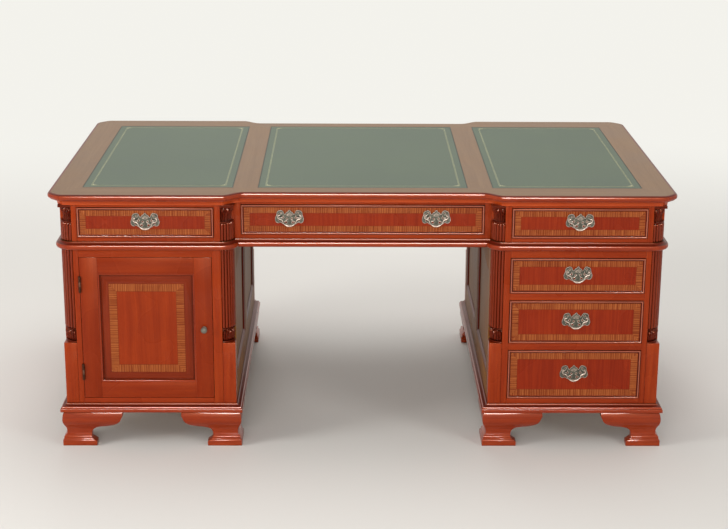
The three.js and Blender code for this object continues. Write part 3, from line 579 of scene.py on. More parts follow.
# Top board: a moulded edge round a breakfront plan, with three shallow beds for the leathers
topSizes = {
    "cornerCut": 0.036,
    "breakLap": 0.020,
    "edgeInset": 0.027,
    "coveTo": 0.5,
    "softening": 0.016,
    "bedDepth": 0.0015,
    "edge": [
        (-1, 0), (-1, 0.1), (-0.92, 0.42, -0.3, 0.46), (-0.26, 0.47), (-0.26, 0.54), (-0.12, 0.56),
        (0, 0.6, 0, 0.74), (0, 0.86, -0.07, 0.92),
    ],
    "roll": [(-0.07, 0.92), (-0.16, 0.985, -0.36, 1)],
}
leatherBoxes = {label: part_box(f"leather_{label}") for label in ("left", "centre", "right")}
leatherX = leatherBoxes["right"][1].x + seatGap
leatherY = leatherBoxes["right"][1].y + seatGap


def topOutline():
    x, y, cut = topHigh.x, topHigh.y, topSizes["cornerCut"]
    breakX = kneeX - topSizes["breakLap"]
    front = [
        (-x, -y + cut), (-x + cut, -y), (-breakX - columnRadius, -y), (-breakX, -y + columnRadius),
        (breakX, -y + columnRadius), (breakX + columnRadius, -y), (x - cut, -y), (x, -y + cut),
    ]
    return front + [(-px, -py) for px, py in front]


# The moulded edge, down to the board's underside. It gives the line where the flat begins
def makeTopEdge():
    bm = newShape()
    outline = softened(topOutline(), topSizes["softening"], 6)
    height = topHigh.z - topBottom
    rows = []
    # the roll at the top of the edge is in the dark finish as a painted shade line
    for part, finish in (("edge", "polishedMahogany"), ("roll", "carvedMahogany")):
        profile = scaled(traced(topSizes[part], 7), topSizes["edgeInset"], height, 0, topBottom)
        rows += addMoulding(bm, outline, profile, finish, capped=False)
    bm.faces.new(rows[0])
    dress(bm, "polishedMahogany", "x")
    rim = [vert.co.copy() for vert in rows[-1]]
    weld(bm)
    # the lower part of the edge, the cove, is painted lighter as light falling on it
    for face in bm.faces:
        if face.calc_center_median().z < topBottom + topSizes["coveTo"] * height:
            face.material_index = finishNumbers["coveMahogany"]
    place("top_edge", asMesh("top_edge", bm), "carcass")
    return rim


def makeTopFlat(rimPlaces):
    bm = newShape()
    rim = [bm.verts.new(point) for point in rimPlaces]
    # the border is mitred from each corner of the leathers out to the canted corners
    corners = ((-1, -1), (1, -1), (1, 1), (-1, 1))
    mitres, inner = {}, {}
    for corner in corners:
        mitres[corner] = max(range(len(rim)), key=lambda i: rim[i].co.xy.dot(Vector(corner)))
        inner[corner] = bm.verts.new((corner[0] * leatherX, corner[1] * leatherY, topHigh.z))
    for start, end, grain in zip(corners, corners[1:] + corners[:1], ("x", "y", "x", "y")):
        span = (mitres[end] - mitres[start]) % len(rim)
        run = [rim[(mitres[start] + k) % len(rim)] for k in range(span + 1)]
        bm.faces.new(run + [inner[end], inner[start]])
        dress(bm, "topMahogany", grain)
    half = leatherBoxes["centre"][1].x + seatGap
    near = leatherBoxes["right"][0].x - seatGap
    for x0, x1 in ((-near, -half), (half, near)):
        addFace(bm, [(x, y, topHigh.z) for x, y in rectangle(x0, x1, -leatherY, leatherY)])
        dress(bm, "topMahogany", "y")
    for x0, x1 in ((-leatherX, -near), (-half, half), (near, leatherX)):
        plan = rectangle(x0, x1, -leatherY, leatherY)
        levels = (topHigh.z, topHigh.z - topSizes["bedDepth"])
        upper, lower = ([bm.verts.new((x, y, z)) for x, y in plan] for z in levels)
        for i in range(4):
            bm.faces.new((upper[i - 1], upper[i], lower[i], lower[i - 1]))
        bm.faces.new(lower)
        dress(bm, "topMahogany", "x")
    weld(bm)
    place("desk_top", asMesh("desk_top", bm), "carcass", ["top_board"])


makeTopFlat(makeTopEdge())

# Leathers with a gold tooled border: two fillets with a running row of lozenges, and in each corner a sprig
# of three leaves, given as [turn, length]. A dark line runs along the cut edge
toolingSizes = {
    "lift": 0.00001,
    "thickness": 0.00012,
    "darkLineInset": 0.0004,
    "darkLineWidth": 0.0022,
    "inset": 0.021,
    "filletWidth": 0.0006,
    "bandWidth": 0.0042,
    "lozengePitch": 0.0052,
    "lozenge": (0.00152, 0.0008),
    "stamp": 0.0105,
    "stampGap": 0.0012,
    "stampLeaves": [(0.12, 1.5), (0.785, 1.15), (1.45, 1.5)],
    "leafWidest": 0.55,
    "leafWidth": 0.16,
}


def addGold(bm, points, z):
    lower, upper = ([(x, y, z + rise) for x, y in points] for rise in (0, toolingSizes["thickness"]))
    addLoft(bm, [lower, upper], "goldLeaf", "x")


def addLine(bm, low, high, inset, width, finish):
    z = high.z + toolingSizes["lift"]
    rise = toolingSizes["thickness"]
    profile = [(0, z), (0, z + rise), (-width, z + rise), (-width, z)]
    addMoulding(bm, rectangle(low.x, high.x, low.y, high.y, inset), profile, finish, closed=True)


def addLozenges(bm, start, end, z):
    along, across = toolingSizes["lozenge"]
    count = round((end - start).length / toolingSizes["lozengePitch"])
    way = (end - start).normalized()
    side = Vector((-way.y, way.x))
    for k in range(1, count):
        spot = start + (end - start) * k / count
        addGold(bm, [spot - way * along, spot + side * across, spot + way * along, spot - side * across], z)


def addStamp(bm, x, y, outX, outY, z):
    sizes = toolingSizes
    root = Vector([sizes["bandWidth"] - sizes["filletWidth"] + sizes["stampGap"]] * 2)
    for turn, length in sizes["stampLeaves"]:
        way = Vector((math.cos(turn), math.sin(turn)))
        side = Vector((-way.y, way.x)) * sizes["leafWidth"] * sizes["stamp"]
        widest = root + way * sizes["leafWidest"] * length * sizes["stamp"]
        leaf = [root, widest + side, root + way * length * sizes["stamp"], widest - side]
        addGold(bm, [(x + outX * p.x, y + outY * p.y) for p in leaf], z)


def makeTooling(label):
    low, high = leatherBoxes[label]
    bm = newShape()
    sizes = toolingSizes
    z = high.z + sizes["lift"]
    inset, width = sizes["inset"], sizes["filletWidth"]
    addLine(bm, low, high, inset, width, "goldLeaf")
    addLine(bm, low, high, sizes["darkLineInset"], sizes["darkLineWidth"], "inkedLeather")
    addLine(bm, low, high, inset + sizes["bandWidth"] - width, width, "goldLeaf")
    x0, x1, y0, y1 = low.x + inset, high.x - inset, low.y + inset, high.y - inset
    middle = sizes["bandWidth"] / 2
    for y in (y0 + middle, y1 - middle):
        addLozenges(bm, Vector((x0, y)), Vector((x1, y)), z)
    for x in (x0 + middle, x1 - middle):
        addLozenges(bm, Vector((x, y0)), Vector((x, y1)), z)
    for x, outX in ((x0, 1), (x1, -1)):
        for y, outY in ((y0, 1), (y1, -1)):
            addStamp(bm, x, y, outX, outY, z)
    place(f"gold_tooling_{label}", asMesh(f"gold_tooling_{label}", bm), "carcass")


for label in leatherBoxes:
    frame["nodes"][f"leather_{label}"].material_slots[0].material = finishes["greenLeather"]
    makeTooling(label)
print("top and leathers made")

# Quarter columns: six reeds that end in carved leaves, made round the corner at the origin and out to +X +Y
columnSizes = {
    "reeds": 6,
    "reedDepth": 0.0046,
    "stepsPerReed": 8,
    "postTop": 0.190,
    "postEase": 0.0008,
    "cushion": 0.0045,
    "lowerCarving": 0.044,
    "collar": 0.003,
    "capital": 0.046,
    "capitalCollar": 0.0035,
    "capitalCupFrom": 0.0036,
    "capitalBlock": 0.009,
}
# Profiles of the turned parts, as shares of the column's radius and of their own height
columnShares = {
    "cushion": [(0.86, 0), (0.97, 0.1, 0.97, 0.5), (0.97, 0.9, 0.8, 1)],
    "cup": [(0.80, 0), (0.99, 0.1, 0.96, 0.42), (0.93, 0.72, 0.84, 1)],
    "collar": [(0.84, 0), (0.97, 0.05, 0.97, 0.5), (0.97, 0.95, 0.86, 1)],
    "capitalCollar": [(0.88, 0), (0.99, 0.05, 0.99, 0.5), (0.99, 0.95, 0.84, 1)],
    "capitalCup": [(0.82, 0), (0.80, 0.35, 0.86, 0.6), (0.92, 0.86, 0.98, 1)],
    "capitalBlock": [(-0.1, 0), (0, 0.08, 0, 0.2), (0, 0.55), (-0.05, 0.58), (-0.05, 0.66), (0, 0.7), (0, 1)],
}
# Carved leaves: how deep the knife goes, and the shapes as shares of half a leaf's width and of its height
leafSizes = {
    "count": 3,
    "sunk": 0.0056,
    "body": 0.0052,
    "curl": 0.0048,
    "vein": 0.0036,
    "secondRow": 0.0036,
    "widestAt": 0.35,
    "narrowest": 0.05,
    "taper": 2.2,
    "roundness": 2.4,
    "veinWidth": 0.09,
    "ribs": (16, 11),
    "ribDepth": 0.3,
    "curlAt": (0.72, 0.14),
    "secondRowAt": (0.9, 0.16),
    "secondRowWidth": 0.55,
}


def quarterRing(reachAt, z):
    count = columnSizes["reeds"] * columnSizes["stepsPerReed"]
    ring = [(seatGap, seatGap, z)]
    for i in range(count + 1):
        angle = i / count * math.pi / 2
        reach = reachAt(i / count)
        ring.append((max(reach * math.cos(angle), seatGap), max(reach * math.sin(angle), seatGap), z))
    return ring


def reedRings(low, high):
    reeds, depth = columnSizes["reeds"], columnSizes["reedDepth"]
    halfWidth = columnRadius * math.pi / 4 / reeds

    def reach(share, fromEnd):
        across = 2 * (share * reeds % 1) - 1
        along = max(0.0, 1 - fromEnd / halfWidth)
        return columnRadius - depth + depth * math.sqrt(max(0.0, 1 - across ** 2 - along ** 2))

    # each reed has a rounded end, so the rings lie closer there
    steps = [halfWidth * (1 - math.cos(k / 7 * math.pi / 2)) for k in range(8)]
    levels = [low + step for step in steps] + [high - step for step in reversed(steps)]
    return [quarterRing(lambda share: reach(share, min(z - low, high - z)), z) for z in levels]


def swell(value, middle, spread):
    return math.exp(-((value - middle) / spread) ** 2)


# Leaves round a cup: a row of broad ones with a vein each, and the tips of a second row between them
def leafReach(share, up, radius):
    leaf = leafSizes
    across = 2 * (share * leaf["count"] % 1) - 1
    between = 2 * ((share * leaf["count"] + 0.5) % 1) - 1
    tapering = max(up - leaf["widestAt"], 0) / (1 - leaf["widestAt"])
    width = math.sqrt(max(0.0, 1 - tapering ** leaf["taper"]))
    body = 0.0
    if width > leaf["narrowest"]:
        body = max(0.0, 1 - (abs(across) / width) ** leaf["roundness"])
    fineRibs, slant = leaf["ribs"]
    ribs = 0.5 + 0.5 * math.cos(fineRibs * abs(across) - slant * up)
    behind = max(0.0, 1 - (abs(between) / leaf["secondRowWidth"]) ** 2) * swell(up, *leaf["secondRowAt"])
    relief = leaf["body"] * body * (1 - leaf["ribDepth"] + leaf["ribDepth"] * ribs)
    relief += leaf["curl"] * body * swell(up, *leaf["curlAt"])
    relief -= leaf["vein"] * body * swell(across, 0, leaf["veinWidth"])
    relief += leaf["secondRow"] * behind
    return min(radius * columnRadius + relief - leaf["sunk"], columnRadius)


def carvedRings(shape, low, height, steps=30):
    cup = traced(shape, 10)
    rings = []
    for up in (k / steps for k in range(steps + 1)):
        radius = acrossAt(cup, up)
        rings.append(quarterRing(lambda share: leafReach(share, up, radius), low + up * height))
    return rings


def turnedRings(shape, low, height):
    rings = []
    for radius, up in traced(shape, 5):
        rings.append(quarterRing(lambda share: radius * columnRadius, low + up * height))
    return rings


def lowerColumnMesh():
    bm = newShape()
    sizes, shares = columnSizes, columnShares
    postTop = pedestalBottom + sizes["postTop"]
    shaftLow = postTop + sizes["lowerCarving"]
    cupLow, cupHigh = postTop + sizes["cushion"], shaftLow - sizes["collar"]
    post = (columnRadius, columnRadius, postTop)
    addBoard(bm, (seatGap, seatGap, pedestalBottom), post, "z", "mahogany", sizes["postEase"])
    # the carved cup is darker, partly the wood's own dark colour and partly painted shade in the carving
    rings = turnedRings(shares["cushion"], postTop, sizes["cushion"])
    rings += carvedRings(shares["cup"], cupLow, cupHigh - cupLow)
    rings += turnedRings(shares["collar"], cupHigh, sizes["collar"])
    addLoft(bm, rings, "carvedMahogany", "z")
    addLoft(bm, reedRings(shaftLow + seatGap, waistBottom), "columnMahogany", "z")
    return asMesh("lower_column", bm, 50)


def upperColumnMesh():
    bm = newShape()
    sizes, shares = columnSizes, columnShares
    blockLow = topBottom - sizes["capitalBlock"]
    capitalLow = blockLow - sizes["capital"]
    cupFrom = sizes["capitalCupFrom"]
    addLoft(bm, reedRings(friezeBottom, capitalLow - seatGap), "columnMahogany", "z")
    # the carved capital is darker, partly the wood's own dark colour and partly painted shade in the carving
    rings = turnedRings(shares["capitalCollar"], capitalLow, sizes["capitalCollar"])
    rings += carvedRings(shares["capitalCup"], capitalLow + cupFrom, sizes["capital"] - cupFrom)
    addLoft(bm, rings, "carvedMahogany", "z")
    block = scaled(traced(shares["capitalBlock"], 4), columnRadius, sizes["capitalBlock"], 0, blockLow)
    addMoulding(bm, rectangle(seatGap, columnRadius, seatGap, columnRadius), block, "carvedMahogany")
    return asMesh("upper_column", bm, 50)


# Quarter turns take +X +Y to the side of each corner. The left pedestal is the right one turned half round
cornerTurns = {(1, 1): 0, (-1, 1): 1, (-1, -1): 2, (1, -1): 3}
pedestalEnds = {"right": False, "left": True}


def cornersOf(side, halfRound):
    for (sideX, sideY), turns in cornerTurns.items():
        end = "back" if (sideY > 0) != halfRound else "front"
        yield f"{side}_{end}_{'outer' if sideX > 0 else 'inner'}", sideX, sideY, turns


def makeColumns():
    lower, upper = lowerColumnMesh(), upperColumnMesh()
    for side, halfRound in pedestalEnds.items():
        for corner, sideX, sideY, turns in cornersOf(side, halfRound):
            x = bodyX - columnRadius if sideX > 0 else kneeX + columnRadius
            y = sideY * (bodyY - columnRadius)
            place(f"reeded_column_{corner}", lower, "carcass", [f"column_{corner}"],
                  (x, y, 0), turns, halfRound)
            place(f"frieze_column_{corner}", upper, "carcass", [],
                  (x - sideX * seatGap, y - sideY * seatGap, 0), turns, halfRound)


makeColumns()
print("columns made")

# Carcass boards. Both ends of the desk are one shape, made for the front and turned half round for the back
carcassSizes = {
    "wall": 0.020,
    "frameDepth": 0.062,
    "middleFrameDepth": 0.024,
    "partition": 0.016,
    "dustBoard": 0.009,
    "guide": 0.012,
    "recess": 0.018,
    "doorStop": 0.008,
    "doorStopBehind": 0.021,
    "shelfBearer": 0.014,
    "shelfEase": 0.0015,
}


# The opening that a drawer or door fills: its sides, its bottom and top, and the plane that it opens in
def openingOf(node, face):
    low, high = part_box(node)
    return low.x - runningGap, high.x + runningGap, low.z - seatGap, high.z + runningGap, face


drawerOpenings = {
    label: openingOf(f"drawer_front_{label}", -bodyY) for label in ("low", "middle", "high", "left", "right")
}
drawerOpenings["centre"] = openingOf("drawer_front_centre", -middleY)
doorLow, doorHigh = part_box("door_panel_front")
doorFrameLow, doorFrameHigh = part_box("door_frame_front")
doorOpening = (
    -drawerOpenings["low"][1], doorFrameHigh.x + runningGap,
    doorFrameLow.z - runningGap, doorFrameHigh.z + runningGap, -bodyY,
)


def waistOutline(steps=10):
    outerX, innerX, y = bodyX - columnRadius, kneeX + columnRadius, bodyY - columnRadius

    def arc(x, firstQuarter):
        angles = ((firstQuarter + k / steps) * math.pi / 2 for k in range(steps + 1))
        return [(x + columnRadius * math.cos(a), -y + columnRadius * math.sin(a)) for a in angles]

    front = arc(-outerX, 2) + arc(-innerX, 3) + arc(innerX, 2) + arc(outerX, 3)
    return front + [(-px, -py) for px, py in front]


# The rail below and the rail above an opening
def addRails(bm, opening, low, high, back):
    x0, x1, z0, z1, face = opening
    addBoard(bm, (x0, face, low), (x1, back, z0), "x")
    addBoard(bm, (x0, face, z1), (x1, back, high), "x")


# One end drawer's part of the frieze, with its dust board and guides
def addFriezeEnd(bm, opening, side):
    wall, guide, inner = carcassSizes["wall"], carcassSizes["guide"], -carcassSizes["partition"] / 2
    low, high = friezeBottom, topBottom
    back = -bodyY + carcassSizes["frameDepth"]
    x0, x1, z0, _, face = opening
    outer, inside = (x1, x0) if side > 0 else (x0, x1)
    for a, b in ((outer, side * (bodyX - columnRadius)), (side * (kneeX + columnRadius), inside)):
        addBoard(bm, (min(a, b), face, low), (max(a, b), back, high), "z")
    addRails(bm, opening, low, high, back)
    wallX = sorted((side * kneeX, side * (kneeX + wall)))
    addBoard(bm, (wallX[0], -bodyY + columnRadius, low), (wallX[1], 0, high), "y")
    roomX = sorted((side * (kneeX + wall), side * (bodyX - wall)))
    addBoard(bm, (roomX[0], back, low), (roomX[1], inner, z0), "x", "drawerLining")
    for x in (x0 - guide, x1):
        addBoard(bm, (x, back, z0), (x + guide, inner, z0 + guide), "y", "drawerLining")


def addFriezeMiddle(bm):
    wall, guide, inner = carcassSizes["wall"], carcassSizes["guide"], -carcassSizes["partition"] / 2
    low, high = friezeBottom, topBottom
    x0, x1, z0, _, face = drawerOpenings["centre"]
    back = face + carcassSizes["middleFrameDepth"]
    for a, b in ((-kneeX, x0), (x1, kneeX)):
        addBoard(bm, (a, face, low), (b, back, high), "z")
        guideTo = a + guide if a > 0 else b
        addBoard(bm, (a, back, z0), (guideTo, inner, z0 + guide), "y", "drawerLining")
    addRails(bm, drawerOpenings["centre"], low, high, back)
    addBoard(bm, (-kneeX, back, low), (kneeX, inner, z0), "x", "drawerLining")
    addBoard(bm, (-bodyX + wall, inner, low), (bodyX - wall, 0, high), "x", "drawerLining")


def friezeHalfMesh():
    bm = newShape()
    addFriezeEnd(bm, drawerOpenings["left"], -1)
    addFriezeEnd(bm, drawerOpenings["right"], 1)
    addFriezeMiddle(bm)
    return asMesh("frieze_half", bm)


# Base board with its recess over the kneehole, and the outer sides of the frieze
def friezeBaseMesh():
    bm = newShape()
    wall = carcassSizes["wall"]
    outline = waistOutline(4)
    rings = [[(x, y, z) for x, y in outline] for z in (waistBottom, friezeBottom)]
    # the base is in the same painted reflection colour as the kneehole sides
    rim, top = addLoft(bm, rings, "sideMahogany", capped=False)
    bm.faces.new(top)
    plan = rectangle(-kneeX, kneeX, -middleY, middleY, wall)
    lower, upper = (
        [bm.verts.new((x, y, waistBottom + up)) for x, y in plan] for up in (0, carcassSizes["recess"])
    )
    for i in range(4):
        bm.faces.new((lower[i - 1], lower[i], upper[i], upper[i - 1]))
    bm.faces.new(upper)
    # two faces join the rim to the recess, halved from the right front corner to the left back one
    half = len(rim) // 2
    nearRight = min(range(len(rim)), key=lambda i: (rim[i].co.xy - Vector((bodyX, -bodyY))).length)
    for start, corners in ((nearRight, (3, 2, 1)), (nearRight + half, (1, 0, 3))):
        run = [rim[(start + k) % len(rim)] for k in range(half + 1)]
        bm.faces.new(run + [lower[corner] for corner in corners])
    dress(bm, "sideMahogany", "x")
    for x0, x1 in ((-bodyX, wall - bodyX), (bodyX - wall, bodyX)):
        addBoard(bm, (x0, columnRadius - bodyY, friezeBottom), (x1, bodyY - columnRadius, topBottom), "y")
    return asMesh("frieze_base", bm)


def makeFrieze():
    half = friezeHalfMesh()
    place("frieze_front", half, "carcass", ["frieze_carcass"])
    place("frieze_back", half, "carcass", [], halfRound=True)
    place("frieze_base", friezeBaseMesh(), "carcass")


makeFrieze()

# Waist moulding: a round nose low down, with a hollow above it that runs up to the frieze
waistSizes = {
    "hollowFrom": 0.69,
    "profile": [
        (0.3, 0), (0.52, 0), (0.56, 0.05), (0.98, 0.04, 1, 0.36), (1, 0.62, 0.8, 0.68), (0.74, 0.7),
        (0.3, 0.76, 0.16, 1),
    ],
}


def makeWaist():
    bm = newShape()
    height = friezeBottom - waistBottom
    profile = scaled(traced(waistSizes["profile"], 9), waistHigh.x - bodyX, height, 0, waistBottom)
    profile = [(seatGap, waistBottom)] + profile + [(seatGap, friezeBottom)]
    addMouldingWithShadedHollow(bm, waistOutline(), profile, waistBottom + waistSizes["hollowFrom"] * height)
    place("waist_bead", asMesh("waist_bead", bm), "carcass", ["waist_moulding"])


makeWaist()

# Panelled sides of the pedestals. An ovolo sticking runs down from the frame to each sunk panel, as shares of
# [inwards, down]
sideSizes = {
    "stile": 0.075,
    "muntin": 0.100,
    "bottomRail": 0.073,
    "topRail": 0.086,
    "sink": 0.007,
    "bevel": 0.012,
    "sticking": [(0, 0), (0.06, 0), (0.1, 0.12), (0.62, 0.12, 0.9, 0.82), (0.9, 1), (1, 1)],
}


def addSide(bm, x, outwards, finish):
    inside = x - outwards * carcassSizes["wall"]
    x0, x1 = min(x, inside), max(x, inside)
    low, high = pedestalBottom, waistBottom
    railTop, topRail = low + sideSizes["bottomRail"], high - sideSizes["topRail"]
    stileY, muntinY, endY = bodyY - sideSizes["stile"], sideSizes["muntin"] / 2, bodyY - columnRadius
    for y0, y1 in ((-endY, -stileY), (stileY, endY)):
        addBoard(bm, (x0, y0, low), (x1, y1, high), "z", finish)
    addBoard(bm, (x0, -stileY, low), (x1, stileY, railTop), "y", finish)
    addBoard(bm, (x0, -stileY, topRail), (x1, stileY, high), "y", finish)
    addBoard(bm, (x0, -muntinY, railTop), (x1, muntinY, topRail), "z", finish)
    for y0, y1 in ((-stileY, -muntinY), (muntinY, stileY)):
        rings = []
        for inShare, depthShare in traced(sideSizes["sticking"], 6):
            plan = rectangle(y0, y1, railTop, topRail, inShare * sideSizes["bevel"])
            rings.append([(x - outwards * depthShare * sideSizes["sink"], y, z) for y, z in plan])
        # the sticking round each panel is in the dark finish as painted shade
        addLoft(bm, rings, "carvedMahogany", "y", capped=False)
        addFace(bm, rings[-1])
        addFace(bm, [(inside, y, z) for _, y, z in rings[-1]])
        dress(bm, finish, "z")


# Butt hinges: a knuckle in three parts and two leaves. A leaf's places are how far it reaches from the pin
hingeSizes = {
    "radius": 0.0034,
    "rounding": (0.18, 0.0005),
    "height": 0.050,
    "fromEnd": 0.058,
    "forward": 0.0024,
    "fromOpening": 0.0005,
    "knuckleGap": 0.0003,
    "leafDepth": (0.0006, 0.014),
    "fixedLeaf": (-0.0012, -0.0004),
    "movingLeaf": (0.0006, 0.0013),
    "leafEase": 0.0002,
}
hingeX = doorOpening[0] + hingeSizes["fromOpening"]
hingeY = -bodyY - hingeSizes["forward"]


def addKnuckle(bm, low, high):
    radius = hingeSizes["radius"]
    narrower, shorter = hingeSizes["rounding"]
    tip = (1 - narrower) * radius
    profile = [
        (middleRadius, low), (tip, low), (radius, low + shorter), (radius, high - shorter), (tip, high),
        (middleRadius, high),
    ]
    rings = [[(hingeX + r * c, hingeY + r * s, z) for c, s in circle(20)] for r, z in profile]
    addLoft(bm, rings, "hingeBrass", "z")


def addHingeLeaf(bm, across, low, high):
    near, far = hingeSizes["leafDepth"]
    corners = [(hingeX + x, hingeY + y, z) for x, y, z in zip(across, (near, far), (low, high))]
    addBoard(bm, *corners, "z", "hingeBrass", hingeSizes["leafEase"])


def hingeSpans():
    low, high = doorOpening[2] + hingeSizes["fromEnd"], doorOpening[3] - hingeSizes["fromEnd"]
    return [(low, low + hingeSizes["height"]), (high - hingeSizes["height"], high)]


# The cupboard with the fixed half of its hinges, made at the left front and turned round to the right back
def addCupboard(bm):
    wall, inner = carcassSizes["wall"], -carcassSizes["partition"] / 2
    stop, bearer = carcassSizes["doorStop"], carcassSizes["shelfBearer"]
    frameBack = -bodyY + carcassSizes["frameDepth"]
    low, high = pedestalBottom, waistBottom
    x0, x1, z0, z1, face = doorOpening
    addBoard(bm, (-bodyX + columnRadius, face, low), (x0, frameBack, high), "z")
    addBoard(bm, (x1, face, low), (-kneeX - columnRadius, frameBack, high), "z")
    addRails(bm, doorOpening, low, high, frameBack)
    stopY = face + carcassSizes["doorStopBehind"]
    for a, b in ((x0, x0 + stop), (x1 - stop, x1)):
        addBoard(bm, (a, stopY, z0), (b, frameBack, z1), "z")
    for a, b in ((z0, z0 + stop), (z1 - stop, z1)):
        addBoard(bm, (x0 + stop, stopY, a), (x1 - stop, frameBack, b), "x")
    roomLow, roomHigh = -bodyX + wall, -kneeX - wall
    addBoard(bm, (roomLow, frameBack, low), (roomHigh, inner, z0), "x", "drawerLining")
    addBoard(bm, (roomLow, frameBack, high - wall), (roomHigh, inner, high), "x", "drawerLining")
    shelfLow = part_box("shelf_front")[0]
    for a, b in ((roomLow, roomLow + bearer), (roomHigh - bearer, roomHigh)):
        addBoard(bm, (a, shelfLow.y, shelfLow.z - bearer), (b, inner, shelfLow.z), "y", "drawerLining")
    for bottom, top in hingeSpans():
        third = (top - bottom) / 3
        addKnuckle(bm, bottom, bottom + third)
        addKnuckle(bm, top - third, top)
        addHingeLeaf(bm, hingeSizes["fixedLeaf"], bottom, top)
    bmesh.ops.rotate(bm, verts=bm.verts, matrix=Matrix.Rotation(math.pi, 3, "Z"))


# The front of the right pedestal: frame, dust boards and guides of its three drawers
def addDrawerCase(bm):
    wall, guide, inner = carcassSizes["wall"], carcassSizes["guide"], carcassSizes["partition"] / 2
    frameBack = -bodyY + carcassSizes["frameDepth"]
    low, high = pedestalBottom, waistBottom
    openings = [drawerOpenings[label] for label in ("low", "middle", "high")]
    x0, x1, *_, face = openings[0]
    addBoard(bm, (x1, face, low), (bodyX - columnRadius, frameBack, high), "z")
    addBoard(bm, (kneeX + columnRadius, face, low), (x0, frameBack, high), "z")
    levels = [low] + [z for opening in openings for z in opening[2:4]] + [high]
    for bottom, top in zip(levels[::2], levels[1::2]):
        addBoard(bm, (x0, face, bottom), (x1, frameBack, top), "x")
    roomLow, roomHigh = kneeX + wall, bodyX - wall
    bottoms = [low] + [opening[2] - carcassSizes["dustBoard"] for opening in openings[1:]]
    for bottom, (left, right, floor, *_) in zip(bottoms, openings):
        addBoard(bm, (roomLow, frameBack, bottom), (roomHigh, -inner, floor), "x", "drawerLining")
        for a, b in ((roomLow, left), (right, roomHigh)):
            addBoard(bm, (a, frameBack, floor), (b, -inner, floor + guide), "y", "drawerLining")
    addBoard(bm, (roomLow, frameBack, high - wall), (roomHigh, -inner, high), "x", "drawerLining")
    addBoard(bm, (roomLow, -inner, low), (roomHigh, inner, high), "z", "drawerLining")


def pedestalMesh():
    bm = newShape()
    addCupboard(bm)
    addDrawerCase(bm)
    addSide(bm, bodyX, 1, "mahogany")
    # the kneehole side is in the colour that paints the floor's reflection
    addSide(bm, kneeX, -1, "sideMahogany")
    return asMesh("pedestal", bm)


# Plinth moulding and ogee bracket feet. The bracket is the foot's outline from the front, and its face bows
# outwards by the swell
plinthSizes = {
    "inner": 0.020,
    "hollowFrom": 0.68,
    "profile": [
        (1, 0), (1, 0.36), (0.97, 0.4), (0.84, 0.42), (0.84, 0.5), (0.8, 0.68, 0.5, 0.72),
        (0.16, 0.76, 0.1, 0.98), (0.04, 1),
    ],
}
footSizes = {
    "reach": 0.181,
    "thickness": 0.034,
    "swell": 0.013,
    "softening": 0.0016,
    "block": 0.036,
    "blockBottom": 0.016,
    "face": [
        (0, 0), (0, 0.15), (0.04, 0.165), (0.28, 0.19), (0.3, 0.215), (0.28, 0.25), (0.32, 0.262),
        (0.86, 0.32), (1.08, 0.42, 0.6, 0.54), (0, 0.66, 0.03, 0.76), (0.08, 0.93, 0.55, 1),
    ],
    "bracket": [
        (0.567, 0), (0.567, 0.12), (0.53, 0.16, 0.487, 0.215), (0.474, 0.3, 0.486, 0.38),
        (0.51, 0.52, 0.68, 0.545), (0.92, 0.57, 0.965, 0.74), (0.985, 0.82, 1, 0.86), (1, 1),
    ],
}


def plinthMesh():
    bm = newShape()
    height, inner = pedestalBottom - footTop, -plinthSizes["inner"]
    profile = scaled(traced(plinthSizes["profile"], 7), plinthHigh.x - bodyX, height, 0, footTop)
    profile = [(inner, footTop)] + profile + [(inner, pedestalBottom)]
    outline = rectangle(kneeX, bodyX, -bodyY, bodyY)
    addMouldingWithShadedHollow(bm, outline, profile, footTop + plinthSizes["hollowFrom"] * height)
    return asMesh("plinth", bm)


# The foot is a stack of L shaped plans, its outer corner at the origin, reaching back to -X and -Y
def footMesh():
    bm = newShape()
    face, bracket = traced(footSizes["face"], 8), traced(footSizes["bracket"], 8)
    levels = sorted({round(up, 4) for _, up in face + bracket})
    inside = -footSizes["thickness"]
    rings = []
    for up in levels:
        back = -acrossAt(face, up) * footSizes["swell"]
        reach = -acrossAt(bracket, up) * footSizes["reach"]
        plan = [
            (back, back), (back, reach), (inside, reach), (inside, inside), (reach, inside), (reach, back),
        ]
        rings.append([(x, y, up * footTop) for x, y in softened(plan, footSizes["softening"], 2)])
    addLoft(bm, rings, "polishedMahogany")
    far, near = inside - footSizes["block"], inside + seatGap
    addBoard(bm, (far, far, footSizes["blockBottom"]), (near, near, footTop), "z", "drawerLining")
    return asMesh("ogee_foot", bm, 32)


def makePedestals():
    carcass, plinth, foot = pedestalMesh(), plinthMesh(), footMesh()
    footLow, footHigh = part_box("foot_right_front_outer")
    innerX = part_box("foot_right_front_inner")[0].x
    for side, halfRound in pedestalEnds.items():
        place(f"carcass_{side}", carcass, "carcass", [f"pedestal_{side}"], halfRound=halfRound)
        place(f"plinth_frame_{side}", plinth, "carcass", [f"plinth_{side}"], halfRound=halfRound)
        for corner, sideX, sideY, turns in cornersOf(side, halfRound):
            x = footHigh.x if sideX > 0 else innerX
            place(f"ogee_foot_{corner}", foot, "carcass", [f"foot_{corner}"],
                  (x, -sideY * footLow.y, 0), turns, halfRound)


makePedestals()
print("carcass, plinths and feet made")

